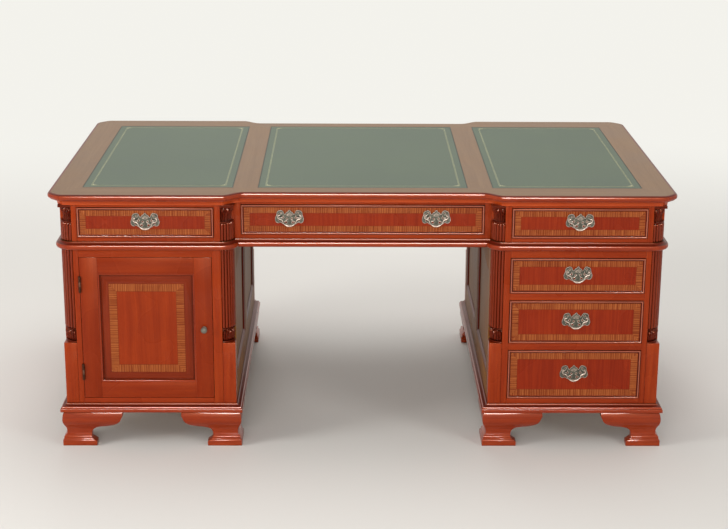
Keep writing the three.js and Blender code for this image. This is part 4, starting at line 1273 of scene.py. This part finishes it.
# Drawers: a beaded and crossbanded front on a dovetailed box. The bead is [inset, proud of the face]
drawerSizes = {
    "front": 0.020,
    "band": {
        "low": 0.0195, "middle": 0.0185, "high": 0.0175, "left": 0.0165, "centre": 0.0165, "right": 0.0165,
    },
    "string": 0.0007,
    "bead": [
        (0, 0), (0, 0.0013), (0.0002, 0.0031, 0.0023, 0.0030), (0.0044, 0.0030, 0.0050, 0.0007),
        (0.0053, 0.0002), (0.0059, 0.0002), (0.0060, 0.0012, 0.0069, 0.0012), (0.0079, 0.0011, 0.0082, 0.0),
    ],
    "crest": (0.0007, 0.0036),
    "quirkTo": 0.0075,
    "side": 0.011,
    "sideDrop": 0.009,
    "sideEase": 0.0009,
    "bottom": 0.006,
    "bottomLift": 0.007,
    "endRoom": 0.008,
    "tail": 0.028,
    "pinShare": 0.20,
    "pinFlare": 1.5,
    "pinProud": 0.0001,
}


# Rings of a rectangle from the edge inwards. Each step is [inset, proud of the face, finish, grain]. The
# grain goes along with "run", across with "cross", and "edge" is like "run" on the side of the board
def addFramedSteps(bm, rect, plane, steps):
    for (inset, proud, finish, grain), (nextInset, nextProud, *_) in zip(steps, steps[1:]):
        outer = [(x, plane - proud, z) for x, z in rectangle(*rect, inset)]
        inner = [(x, plane - nextProud, z) for x, z in rectangle(*rect, nextInset)]
        for i in range(4):
            addFace(bm, (outer[i - 1], outer[i], inner[i], inner[i - 1]))
            level = i in (1, 3)
            along = "x" if level != (grain == "cross") else "z"
            if grain == "run":
                dressLike(bm, finish, along, i)
            else:
                dress(bm, finish, along)


def addSheet(bm, rect, y, finish, along, inset=0.0):
    addFace(bm, [(x, y, z) for x, z in rectangle(*rect, inset)])
    dress(bm, finish, along)


def drawerFrontMesh(opening, band):
    x0, x1, z0, z1, face = opening
    rect = (x0 + runningGap, x1 - runningGap, z0 + runningGap, z1 - runningGap)
    bm = newShape()
    sizes = drawerSizes
    bead = traced(sizes["bead"], 6)
    steps = [(0, -sizes["front"], "polishedMahogany", "edge")]
    for inset, proud in bead[:-1]:
        # the outer side of the bead, by the gap, is in the dark finish as painted shade
        finish = "carvedMahogany" if inset < sizes["quirkTo"] else "polishedMahogany"
        # the crest of the bead gets a paler finish as a painted highlight
        if sizes["crest"][0] < inset < sizes["crest"][1]:
            finish = "rubbedMahogany"
        steps.append((inset, proud, finish, "run"))
    edge = bead[-1][0]
    field = edge + band + sizes["string"]
    steps += [(edge, 0, "crossbanding", "cross"), (edge + band, 0, "carvedMahogany", "run"), (field, 0)]
    addFramedSteps(bm, rect, face, steps)
    addSheet(bm, rect, face, "fieldVeneer", "z", field)
    addSheet(bm, rect, face + sizes["front"], "drawerLining", "x")
    weld(bm)
    return asMesh("drawer_front", bm, 42)


def drawerBoxMesh(opening):
    x0, x1, z0, z1, face = opening
    sizes = drawerSizes
    bm = newShape()
    side0, side1, thick, ease = x0 + runningGap, x1 - runningGap, sizes["side"], sizes["sideEase"]
    frontY, backY = face + sizes["front"], -carcassSizes["partition"] / 2 - sizes["endRoom"]
    low, high = z0 + seatGap, z1 - sizes["sideDrop"]
    floorLow = z0 + sizes["bottomLift"]
    for a, b in ((side0, side0 + thick), (side1 - thick, side1)):
        addBoard(bm, (a, frontY, low), (b, backY, high), "y", "drawerLining", ease)
    inner0, inner1, innerY = side0 + thick, side1 - thick, backY - thick
    addBoard(bm, (inner0, innerY, low), (inner1, backY, high), "x", "drawerLining", ease)
    floorHigh = floorLow + sizes["bottom"]
    addBoard(bm, (inner0, frontY, floorLow), (inner1, innerY, floorHigh), "x", "drawerLining")
    # pins of the dovetails show as end grain on the sides at the back corners
    tails = max(3, round((high - low) / sizes["tail"]))
    pitch = (high - low) / tails
    narrow = sizes["pinShare"] * pitch
    wide = narrow * sizes["pinFlare"]
    for k in range(tails):
        z = low + (k + 0.5) * pitch
        for x in (side0 - sizes["pinProud"], side1 + sizes["pinProud"]):
            pin = ((innerY, z - narrow), (backY, z - wide), (backY, z + wide), (innerY, z + narrow))
            addFace(bm, [(x, py, pz) for py, pz in pin])
            dress(bm, "mahogany", "z")
    return asMesh("drawer_box", bm)


# Handles: a pierced bat-wing plate, two turned posts and a swan-neck bail, in metres from the middle of the
# plate. The post's profile is [radius, how far forward]
handleSizes = {
    "halfWidth": 0.042,
    "height": 0.046,
    "thickness": 0.0019,
    "bevel": 0.0003,
    "rim": 0.00066,
    "rimSunk": 0.0001,
    "reliefSunk": 0.0002,
    "postX": 0.025,
    "postRise": 0.009,
    "post": [
        (0.0001, 0.0005), (0.0050, 0.0005), (0.0050, 0.0022), (0.0048, 0.0028, 0.0036, 0.0029),
        (0.0025, 0.0030, 0.0024, 0.0044), (0.0024, 0.0052, 0.0034, 0.0060),
        (0.0040, 0.0072, 0.0034, 0.0086), (0.0028, 0.0098, 0.0015, 0.0103), (0.0001, 0.0106),
    ],
    "pivot": 0.0072,
    "lift": 0.0045,
}
# Raised work on a plate: a scroll on each wing, a spray below it and a shell of ribs under the peak
reliefSizes = {
    "scroll": (0.0265, 0.0058),
    "scrollReach": (0.0085, 0.00765),
    "scrollFrom": 2.6,
    "scrollTurn": 4.4,
    "scrollClosing": 0.72,
    "scrollRod": 0.00075,
    "spray": [(0.004, -0.0035), (0.010, -0.00875, 0.016, -0.010)],
    "sprayRod": 0.0007,
    "shellRibs": 2,
    "shellFoot": 0.002,
    "shellTip": (0.0032, 0.0175, 0.0016),
    "shellRods": [0.0004, 0.0006, 0.0008, 0.0005],
}
# Right half from the peak round to the foot of the plate, as shares of half width and height
plateEdge = [
    (0.0, 0.53), (0.06, 0.48), (0.115, 0.41), (0.19, 0.385), (0.245, 0.33), (0.275, 0.27), (0.33, 0.25),
    (0.385, 0.30), (0.43, 0.40), (0.50, 0.485), (0.60, 0.515), (0.69, 0.49), (0.79, 0.46), (0.87, 0.36),
    (0.885, 0.22), (0.935, 0.10), (0.98, -0.03), (0.965, -0.17), (0.89, -0.28), (0.77, -0.315), (0.66, -0.28),
    (0.57, -0.275), (0.52, -0.33), (0.44, -0.375), (0.33, -0.41), (0.2, -0.44), (0.09, -0.45), (0.0, -0.455),
]
plateHoles = [
    [(0.50, 0.36), (0.575, 0.42), (0.66, 0.39), (0.655, 0.30), (0.56, 0.26)],
    [(0.755, 0.34), (0.815, 0.25), (0.855, 0.07), (0.83, -0.07), (0.755, -0.01), (0.71, 0.17)],
    [(0.40, 0.12), (0.49, 0.17), (0.565, 0.08), (0.53, -0.04), (0.43, -0.07), (0.365, 0.02)],
    [(0.62, -0.09), (0.70, -0.05), (0.76, -0.15), (0.71, -0.23), (0.61, -0.20)],
    [(0.10, 0.25), (0.165, 0.31), (0.215, 0.23), (0.175, 0.14), (0.10, 0.16)],
    [(0.15, -0.20), (0.28, -0.18), (0.39, -0.24), (0.30, -0.33), (0.15, -0.36)],
    [(0.11, 0.03), (0.21, 0.05), (0.26, -0.03), (0.20, -0.10), (0.11, -0.09)],
]
# A hole as a share of its outline above
holeShare = 0.76


def closedSpline(curve, points, flip):
    spline = curve.splines.new("BEZIER")
    spline.bezier_points.add(len(points) - 1)
    for knot, (across, up) in zip(spline.bezier_points, points):
        knot.co = (flip * across * handleSizes["halfWidth"], up * handleSizes["height"], 0)
        knot.handle_left_type = knot.handle_right_type = "AUTO"
    spline.use_cyclic_u = True
    spline.resolution_u = 3


def evaluatedMesh(curve):
    helper = bpy.data.objects.new("helper", curve)
    bpy.context.scene.collection.objects.link(helper)
    mesh = bpy.data.meshes.new_from_object(helper.evaluated_get(bpy.context.evaluated_depsgraph_get()))
    bpy.data.objects.remove(helper)
    return mesh


def platePieces():
    outer = plateEdge + [(-x, y) for x, y in plateEdge[-2:0:-1]]
    loops = [(outer, 1)]
    for hole in plateHoles:
        midX, midY = (sum(values) / len(hole) for values in zip(*hole))
        small = [(midX + holeShare * (x - midX), midY + holeShare * (y - midY)) for x, y in hole]
        loops += [(small, 1), (small, -1)]
    sheet = bpy.data.curves.new("plateSheet", "CURVE")
    sheet.dimensions = "2D"
    sheet.fill_mode = "BOTH"
    sheet.extrude = handleSizes["thickness"] / 2 - handleSizes["bevel"]
    sheet.bevel_depth = handleSizes["bevel"]
    sheet.offset = -handleSizes["bevel"]
    rim = bpy.data.curves.new("plateRim", "CURVE")
    rim.dimensions = "3D"
    rim.bevel_depth = handleSizes["rim"]
    rim.bevel_resolution = 1
    for points, flip in loops:
        closedSpline(sheet, points, flip)
        closedSpline(rim, points, flip)
    return evaluatedMesh(sheet), evaluatedMesh(rim)


# A mesh made flat in XY stands up in XZ and faces the front
def addCurveMesh(bm, mesh, lift, finish):
    start = len(bm.verts)
    bm.from_mesh(mesh)
    bm.verts.ensure_lookup_table()
    for vert in bm.verts[start:]:
        x, y, z = vert.co
        vert.co = Vector((x, -z - lift, y))
    dress(bm, finish, "x")


def addRod(bm, path, radii, sides):
    rings = []
    for i, (point, radius) in enumerate(zip(path, radii)):
        way = (path[min(i + 1, len(path) - 1)] - path[max(i - 1, 0)]).normalized()
        across = way.cross(Vector((0, 1, 0))).normalized()
        rings.append([point + across * radius * s + Vector((0, radius * c, 0)) for c, s in circle(sides)])
    addLoft(bm, rings, "pewter", "x")


def addRelief(bm, y):
    sizes = reliefSizes
    (midX, midZ), (reachX, reachZ) = sizes["scroll"], sizes["scrollReach"]
    spray = traced(sizes["spray"], 9)
    for flip in (-1, 1):
        curl = []
        for t in (k / 21 for k in range(22)):
            turn = sizes["scrollFrom"] + t * sizes["scrollTurn"]
            closing = 1 - sizes["scrollClosing"] * t
            x, z = midX + reachX * closing * math.cos(turn), midZ + reachZ * closing * math.sin(turn)
            curl.append(Vector((flip * x, y, z)))
        addRod(bm, curl, [sizes["scrollRod"] * (1 - 0.4 * k / 21) for k in range(22)], 8)
        leaf = [Vector((flip * x, y, z)) for x, z in spray]
        addRod(bm, leaf, [sizes["sprayRod"] * (1 - 0.5 * k / 9) for k in range(10)], 8)
    apart, height, drop = sizes["shellTip"]
    for k in range(-sizes["shellRibs"], sizes["shellRibs"] + 1):
        foot, tip = Vector((0, y, sizes["shellFoot"])), Vector((k * apart, y, height - drop * k * k))
        addRod(bm, [foot.lerp(tip, t) for t in (0.25, 0.5, 0.75, 1)], sizes["shellRods"], 8)


def plateMesh():
    bm = newShape()
    sheet, rim = platePieces()
    thickness = handleSizes["thickness"]
    addCurveMesh(bm, sheet, thickness / 2, "darkPewter")
    addCurveMesh(bm, rim, thickness - handleSizes["rimSunk"], "pewter")
    addRelief(bm, handleSizes["reliefSunk"] - thickness)
    for flip in (-1, 1):
        at = (flip * handleSizes["postX"], 0, handleSizes["postRise"])
        addTurned(bm, traced(handleSizes["post"], 4), at, 18, "darkPewter")
    return asMesh("handle_plate", bm, 40)


# A swan neck: out past the posts, in under the plate and round to the grip, which swells and has three
# collars. The neck is traced from the lowest point up, as shares of reach and drop
bailSizes = {
    "reach": 0.0325,
    "drop": 0.032,
    "rod": 0.0015,
    "grip": 0.0022,
    "gripHalf": 0.013,
    "gripBelow": 0.02,
    "neck": [
        (0, -1), (0.30, -1.0, 0.47, -0.80), (0.60, -0.66, 0.62, -0.52), (0.66, -0.38, 0.88, -0.34),
        (1.08, -0.29, 1.05, -0.10), (1.03, 0.0, 0.97, 0.0),
    ],
    "tenon": (0.0045, 0.0035, 0.0013),
    "collarX": 0.0052,
    "collarHalf": 0.0009,
    "collarRadius": 0.0024,
    "collarSwell": 0.0012,
    "collarLift": 0.0006,
}


def bailMesh():
    sizes = bailSizes
    half = [Vector((x * sizes["reach"], 0, z * sizes["drop"])) for x, z in traced(sizes["neck"], 8)]
    shoulder, length, tenon = sizes["tenon"]
    half += [Vector((handleSizes["postX"] + shoulder - length * t, 0, 0)) for t in (0.0, 0.5, 1.0)]
    radii = []
    for point in half:
        near = max(0.0, 1 - abs(point.x) / sizes["gripHalf"]) if point.z < -sizes["gripBelow"] else 0.0
        radii.append(sizes["rod"] + (sizes["grip"] - sizes["rod"]) * near ** 0.7)
    radii[-1] = radii[-2] = tenon
    path = [Vector((-p.x, p.y, p.z)) for p in reversed(half)] + half[1:]
    bm = newShape()
    addRod(bm, path, radii[::-1] + radii[1:], 12)
    for spot in (-1, 0, 1):
        z = -sizes["drop"] + sizes["collarLift"] * spot ** 2
        rings = []
        for t in (k / 6 * 2 - 1 for k in range(7)):
            radius = sizes["collarRadius"] + sizes["collarSwell"] * math.sqrt(max(0, 1 - t * t))
            x = spot * sizes["collarX"] + t * sizes["collarHalf"]
            rings.append([(x, radius * c, z + radius * s) for c, s in circle(14)])
        addLoft(bm, rings, "pewter", "x")
    return asMesh("bail", bm, 60)


# What is on the left of the front comes to the right of the back
def shownSide(side, halfRound):
    return {"left": "right", "right": "left"}.get(side, side) if halfRound else side


def makeDrawers():
    plate, bail = plateMesh(), bailMesh()
    bailX = abs(sum(v.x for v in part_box("bail_front_centre_right")) / 2)
    for label, opening in drawerOpenings.items():
        x0, x1, z0, z1, face = opening
        middle, height = (x0 + x1) / 2, (z0 + z1) / 2 + handleSizes["lift"]
        front, box = drawerFrontMesh(opening, drawerSizes["band"][label]), drawerBoxMesh(opening)
        handles = {"left": -bailX, "right": bailX} if label == "centre" else {"": 0.0}
        for end, halfRound in ends.items():
            name = f"{end}_{shownSide(label, halfRound)}"
            body = f"drawer_{name}"
            place(f"{body}_face", front, body, [body], halfRound=halfRound)
            place(f"{body}_box", box, body, halfRound=halfRound)
            for side, x in handles.items():
                handle = f"{name}_{shownSide(side, halfRound)}" if side else name
                node = f"bail_{handle}"
                at = (middle + x, face, height)
                pivot = (middle + x, face - handleSizes["pivot"], height + handleSizes["postRise"])
                place(f"plate_{handle}", plate, body, [], at, halfRound=halfRound)
                place(f"handle_{handle}", bail, node, [node], pivot, halfRound=halfRound)


makeDrawers()
print("drawers and handles made")

# Doors: a stuck frame with a raised, crossbanded panel, whose edge runs in a groove of the frame. The
# sticking is [inset, proud of the face], and the knob's profile is [radius, how far forward] as shares
doorSizes = {
    "thickness": 0.020,
    "ease": 0.0008,
    "railEase": 0.0008 / 3,
    "groove": 0.0067,
    "stickWidth": 0.005,
    "sticking": [
        (0, 0), (0.0004, -0.0009), (0.0012, -0.0012), (0.0046, -0.0014, 0.005, -0.0062), (0.005, -0.0095),
    ],
    "panelMargin": 0.002,
    "panelQuirk": 0.0012,
    "panelBack": 0.006,
    "shoulder": 0.009,
    "bevel": 0.023,
    "bevelRise": 0.88,
    "bevelCurve": 1.7,
    "fieldSink": 0.002,
    "lip": (0.0004, 0.0003),
    "lipCorner": (0.0006, 0.0006),
    "bandFrom": 0.0012,
    "band": 0.024,
    "string": 0.0008,
    "knob": [
        (0.001, 0), (0.74, 0), (0.76, 0.06), (0.74, 0.1), (0.46, 0.14, 0.38, 0.3), (0.34, 0.42, 0.5, 0.47),
        (0.62, 0.5), (0.94, 0.52, 0.99, 0.7), (1.0, 0.84, 0.93, 0.93), (0.86, 0.95), (0.82, 0.92),
        (0.78, 0.93), (0.4, 1, 0.001, 1),
    ],
}


def doorFrameMesh():
    bm = newShape()
    sizes = doorSizes
    x0, x1 = doorOpening[0] + runningGap, doorOpening[1] - runningGap
    z0, z1 = doorOpening[2] + runningGap, doorOpening[3] - runningGap
    groove, stick = sizes["groove"], sizes["stickWidth"]
    face, back = -bodyY, -bodyY + sizes["thickness"]
    sight = (
        doorLow.x + groove - stick, doorHigh.x - groove + stick,
        doorLow.z + groove - stick, doorHigh.z - groove + stick,
    )
    inX0, inX1, inZ0, inZ1 = sight
    addBoard(bm, (x0, face, z0), (inX0, back, z1), "z", "doorMahogany", sizes["ease"])
    addBoard(bm, (inX1, face, z0), (x1, back, z1), "z", "doorMahogany", sizes["ease"])
    addBoard(bm, (inX0, face, z0), (inX1, back, inZ0), "x", "doorMahogany", sizes["railEase"])
    addBoard(bm, (inX0, face, inZ1), (inX1, back, z1), "x", "doorMahogany", sizes["railEase"])
    steps = [(inset, proud, "polishedMahogany", "run") for inset, proud in traced(sizes["sticking"], 6)]
    addFramedSteps(bm, sight, face, steps + [(stick, -sizes["thickness"])])
    weld(bm)
    for bottom, top in hingeSpans():
        third = (top - bottom) / 3
        gap = hingeSizes["knuckleGap"]
        addKnuckle(bm, bottom + third + gap, top - third - gap)
        addHingeLeaf(bm, hingeSizes["movingLeaf"], bottom, top)
    return asMesh("door_frame", bm, 42)


def doorPanelMesh():
    bm = newShape()
    sizes = doorSizes
    rect = (doorLow.x, doorHigh.x, doorLow.z, doorHigh.z)
    floor, field = -sizes["shoulder"] - seatGap, -sizes["fieldSink"]
    rise = sizes["bevelRise"] * (field - floor)
    edge = sizes["groove"] + sizes["panelMargin"]
    top = edge + sizes["bevel"]
    # the panel's edge and the quirk by the sticking are in the dark finish as painted shade
    steps = [(0, floor - sizes["panelBack"], "carvedMahogany", "edge")]
    steps += [(inset, floor, "carvedMahogany", "run") for inset in (0, edge - sizes["panelQuirk"])]
    for t in (k / 12 for k in range(13)):
        up = floor + rise * (1 - (1 - t) ** sizes["bevelCurve"])
        steps.append((edge + sizes["bevel"] * t, up, "columnMahogany", "run"))
    (lipOut, lipUp), (cornerOut, cornerDown) = sizes["lip"], sizes["lipCorner"]
    steps.append((top + lipOut, floor + rise + lipUp, "columnMahogany", "run"))
    steps.append((top + cornerOut, field - cornerDown, "columnMahogany", "run"))
    steps.append((top + sizes["bandFrom"], field, "crossbanding", "cross"))
    steps.append((top + sizes["band"], field, "carvedMahogany", "run"))
    inner = top + sizes["band"] + sizes["string"]
    addFramedSteps(bm, rect, -bodyY, steps + [(inner, field)])
    addSheet(bm, rect, -bodyY - field, "mahogany", "z", inner)
    addSheet(bm, rect, -bodyY - floor + sizes["panelBack"], "drawerLining", "z")
    weld(bm)
    return asMesh("door_panel", bm, 30)


def makeKnob():
    bm = newShape()
    low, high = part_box("door_knob_front")
    profile = scaled(traced(doorSizes["knob"], 6), (high.x - low.x) / 2, high.y - low.y)
    addTurned(bm, profile, (0, 0, 0), 36, "knobPewter")
    return asMesh("knob", bm, 45), ((low.x + high.x) / 2, high.y, (low.z + high.z) / 2)


def shelfMesh():
    bm = newShape()
    low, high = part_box("shelf_front")
    addBoard(bm, low, high, "x", "drawerLining", carcassSizes["shelfEase"])
    return asMesh("shelf", bm)


def makeCupboards():
    leaf, panel, shelf = doorFrameMesh(), doorPanelMesh(), shelfMesh()
    knob, knobPlace = makeKnob()
    for end, halfRound in ends.items():
        body, node = f"door_{end}", f"door_knob_{end}"
        place(f"{body}_leaf", leaf, body, [f"door_frame_{end}"], halfRound=halfRound)
        place(f"{body}_raised_panel", panel, body, [f"door_panel_{end}"], halfRound=halfRound)
        place(f"{body}_turned_knob", knob, body, [node], knobPlace, halfRound=halfRound)
        place(f"cupboard_shelf_{end}", shelf, "carcass", [f"shelf_{end}"], halfRound=halfRound)


makeCupboards()
print("doors and shelves made")

# A plain pale floor, a pale surround and soft lamps. A lamp lights the desk, or shows in its polish, but not
# in the dull pieces, which are found by words of their names
studio = {
    "floor": (0.66, 0.64, 0.60),
    "floorSize": 14,
    "floorDrop": 0.0005,
    "surround": (0.90, 0.89, 0.84),
    "near": 1.6,
    "far": 4.2,
    "ambient": 0.45,
    "aimHeight": 0.5,
    "dull": ("desk_top", "gold", "leather", "floor", "carcass", "frieze_front", "frieze_back", "frieze_base",
             "shelf", "box", "raised_panel", "knob"),
    "lamps": [
        {"name": "keyLamp", "place": (-0.6, -4.6, 1.2), "size": (2.6, 1.6), "power": 102, "shine": False},
        {"name": "leftLamp", "place": (-4.2, -1.9, 1.7), "size": (1.8, 1.8), "power": 110, "shine": False},
        {"name": "rightLamp", "place": (3.6, -3.4, 1.9), "size": (1.8, 1.8), "power": 62, "shine": False},
        {"name": "topLamp", "place": (0.3, 0.6, 3.8), "size": (3.0, 3.0), "power": 60, "shine": False},
        {"name": "backLamp", "place": (-0.6, 4.8, 2.8), "size": (2.6, 2.6), "power": 100, "shine": False},
        {"name": "frontWindow", "place": (-0.1, -4.6, 3.1), "size": (3.6, 2.3), "power": 1000, "shine": True},
    ],
}


def makeFloor():
    bm = bmesh.new()
    bmesh.ops.create_grid(bm, x_segments=1, y_segments=1, size=studio["floorSize"])
    mesh = bpy.data.meshes.new("floor")
    bm.to_mesh(mesh)
    bm.free()
    look = {"Base_Color": studio["floor"], "Roughness": 0.85, "Specular_IOR_Level": 0.2}
    material, tree, surface = newMaterial("paleFloor", **look)
    # far from the desk the floor runs out into the pale surround, so no horizon shows
    spot = addNode(tree, "ShaderNodeNewGeometry").outputs["Position"]
    away = addNode(tree, "ShaderNodeVectorMath", {0: spot}, operation="LENGTH").outputs["Value"]
    fade = {"Value": away, "From Min": studio["near"], "From Max": studio["far"]}
    share = addNode(tree, "ShaderNodeMapRange", fade, interpolation_type="SMOOTHSTEP").outputs["Result"]
    share = maths(tree, "MULTIPLY", share, addNode(tree, "ShaderNodeLightPath").outputs["Is Camera Ray"])
    glow = addNode(tree, "ShaderNodeEmission", {"Color": studio["surround"], "Strength": 1.0})
    blend = addNode(tree, "ShaderNodeMixShader", {0: share, 1: surface.outputs[0], 2: glow.outputs[0]})
    tree.links.new(blend.outputs[0], tree.nodes["Material Output"].inputs["Surface"])
    mesh.materials.append(material)
    floor = bpy.data.objects.new("floor", mesh)
    floor.location.z = -studio["floorDrop"]
    bpy.context.scene.collection.objects.link(floor)


# The surround that is seen is paler than the light that it sheds
def makeSurround():
    world = bpy.data.worlds.new("surround")
    world.use_nodes = True
    bpy.context.scene.world = world
    tree = world.node_tree
    tree.nodes.clear()
    path = addNode(tree, "ShaderNodeLightPath").outputs
    seen = maths(tree, "MAXIMUM", path["Is Camera Ray"], path["Is Glossy Ray"])
    seen = maths(tree, "MAXIMUM", seen, path["Is Transmission Ray"])
    pale = addNode(tree, "ShaderNodeBackground", {"Color": studio["surround"], "Strength": 1.0})
    light = addNode(tree, "ShaderNodeBackground", {"Color": (1, 1, 1), "Strength": studio["ambient"]})
    blend = addNode(tree, "ShaderNodeMixShader", {0: seen, 1: light.outputs[0], 2: pale.outputs[0]})
    addNode(tree, "ShaderNodeOutputWorld", {"Surface": blend.outputs[0]})


# The front window shows in the polish of the mouldings and fronts, and leaves no glare on the flats
def showInPolish(lamp):
    polished = bpy.data.collections.new("polishedParts")
    for piece in list(bpy.context.scene.objects):
        if piece.type == "MESH" and not any(word in piece.name for word in studio["dull"]):
            polished.objects.link(piece)
    lamp.light_linking.receiver_collection = polished


def makeLamps():
    for lamp in studio["lamps"]:
        data = bpy.data.lights.new(lamp["name"], "AREA")
        data.shape = "ELLIPSE"
        data.size, data.size_y = lamp["size"]
        data.energy = lamp["power"]
        holder = bpy.data.objects.new(lamp["name"], data)
        holder.location = lamp["place"]
        holder.visible_glossy = lamp["shine"]
        holder.visible_diffuse = not lamp["shine"]
        if lamp["shine"]:
            showInPolish(holder)
        aim = Vector((0, 0, studio["aimHeight"])) - Vector(lamp["place"])
        holder.rotation_euler = aim.to_track_quat("-Z", "Y").to_euler()
        bpy.context.scene.collection.objects.link(holder)


makeFloor()
makeSurround()
makeLamps()
bpy.context.scene.view_settings.view_transform = "Standard"
print("floor and lamps placed")

print("desk finished")
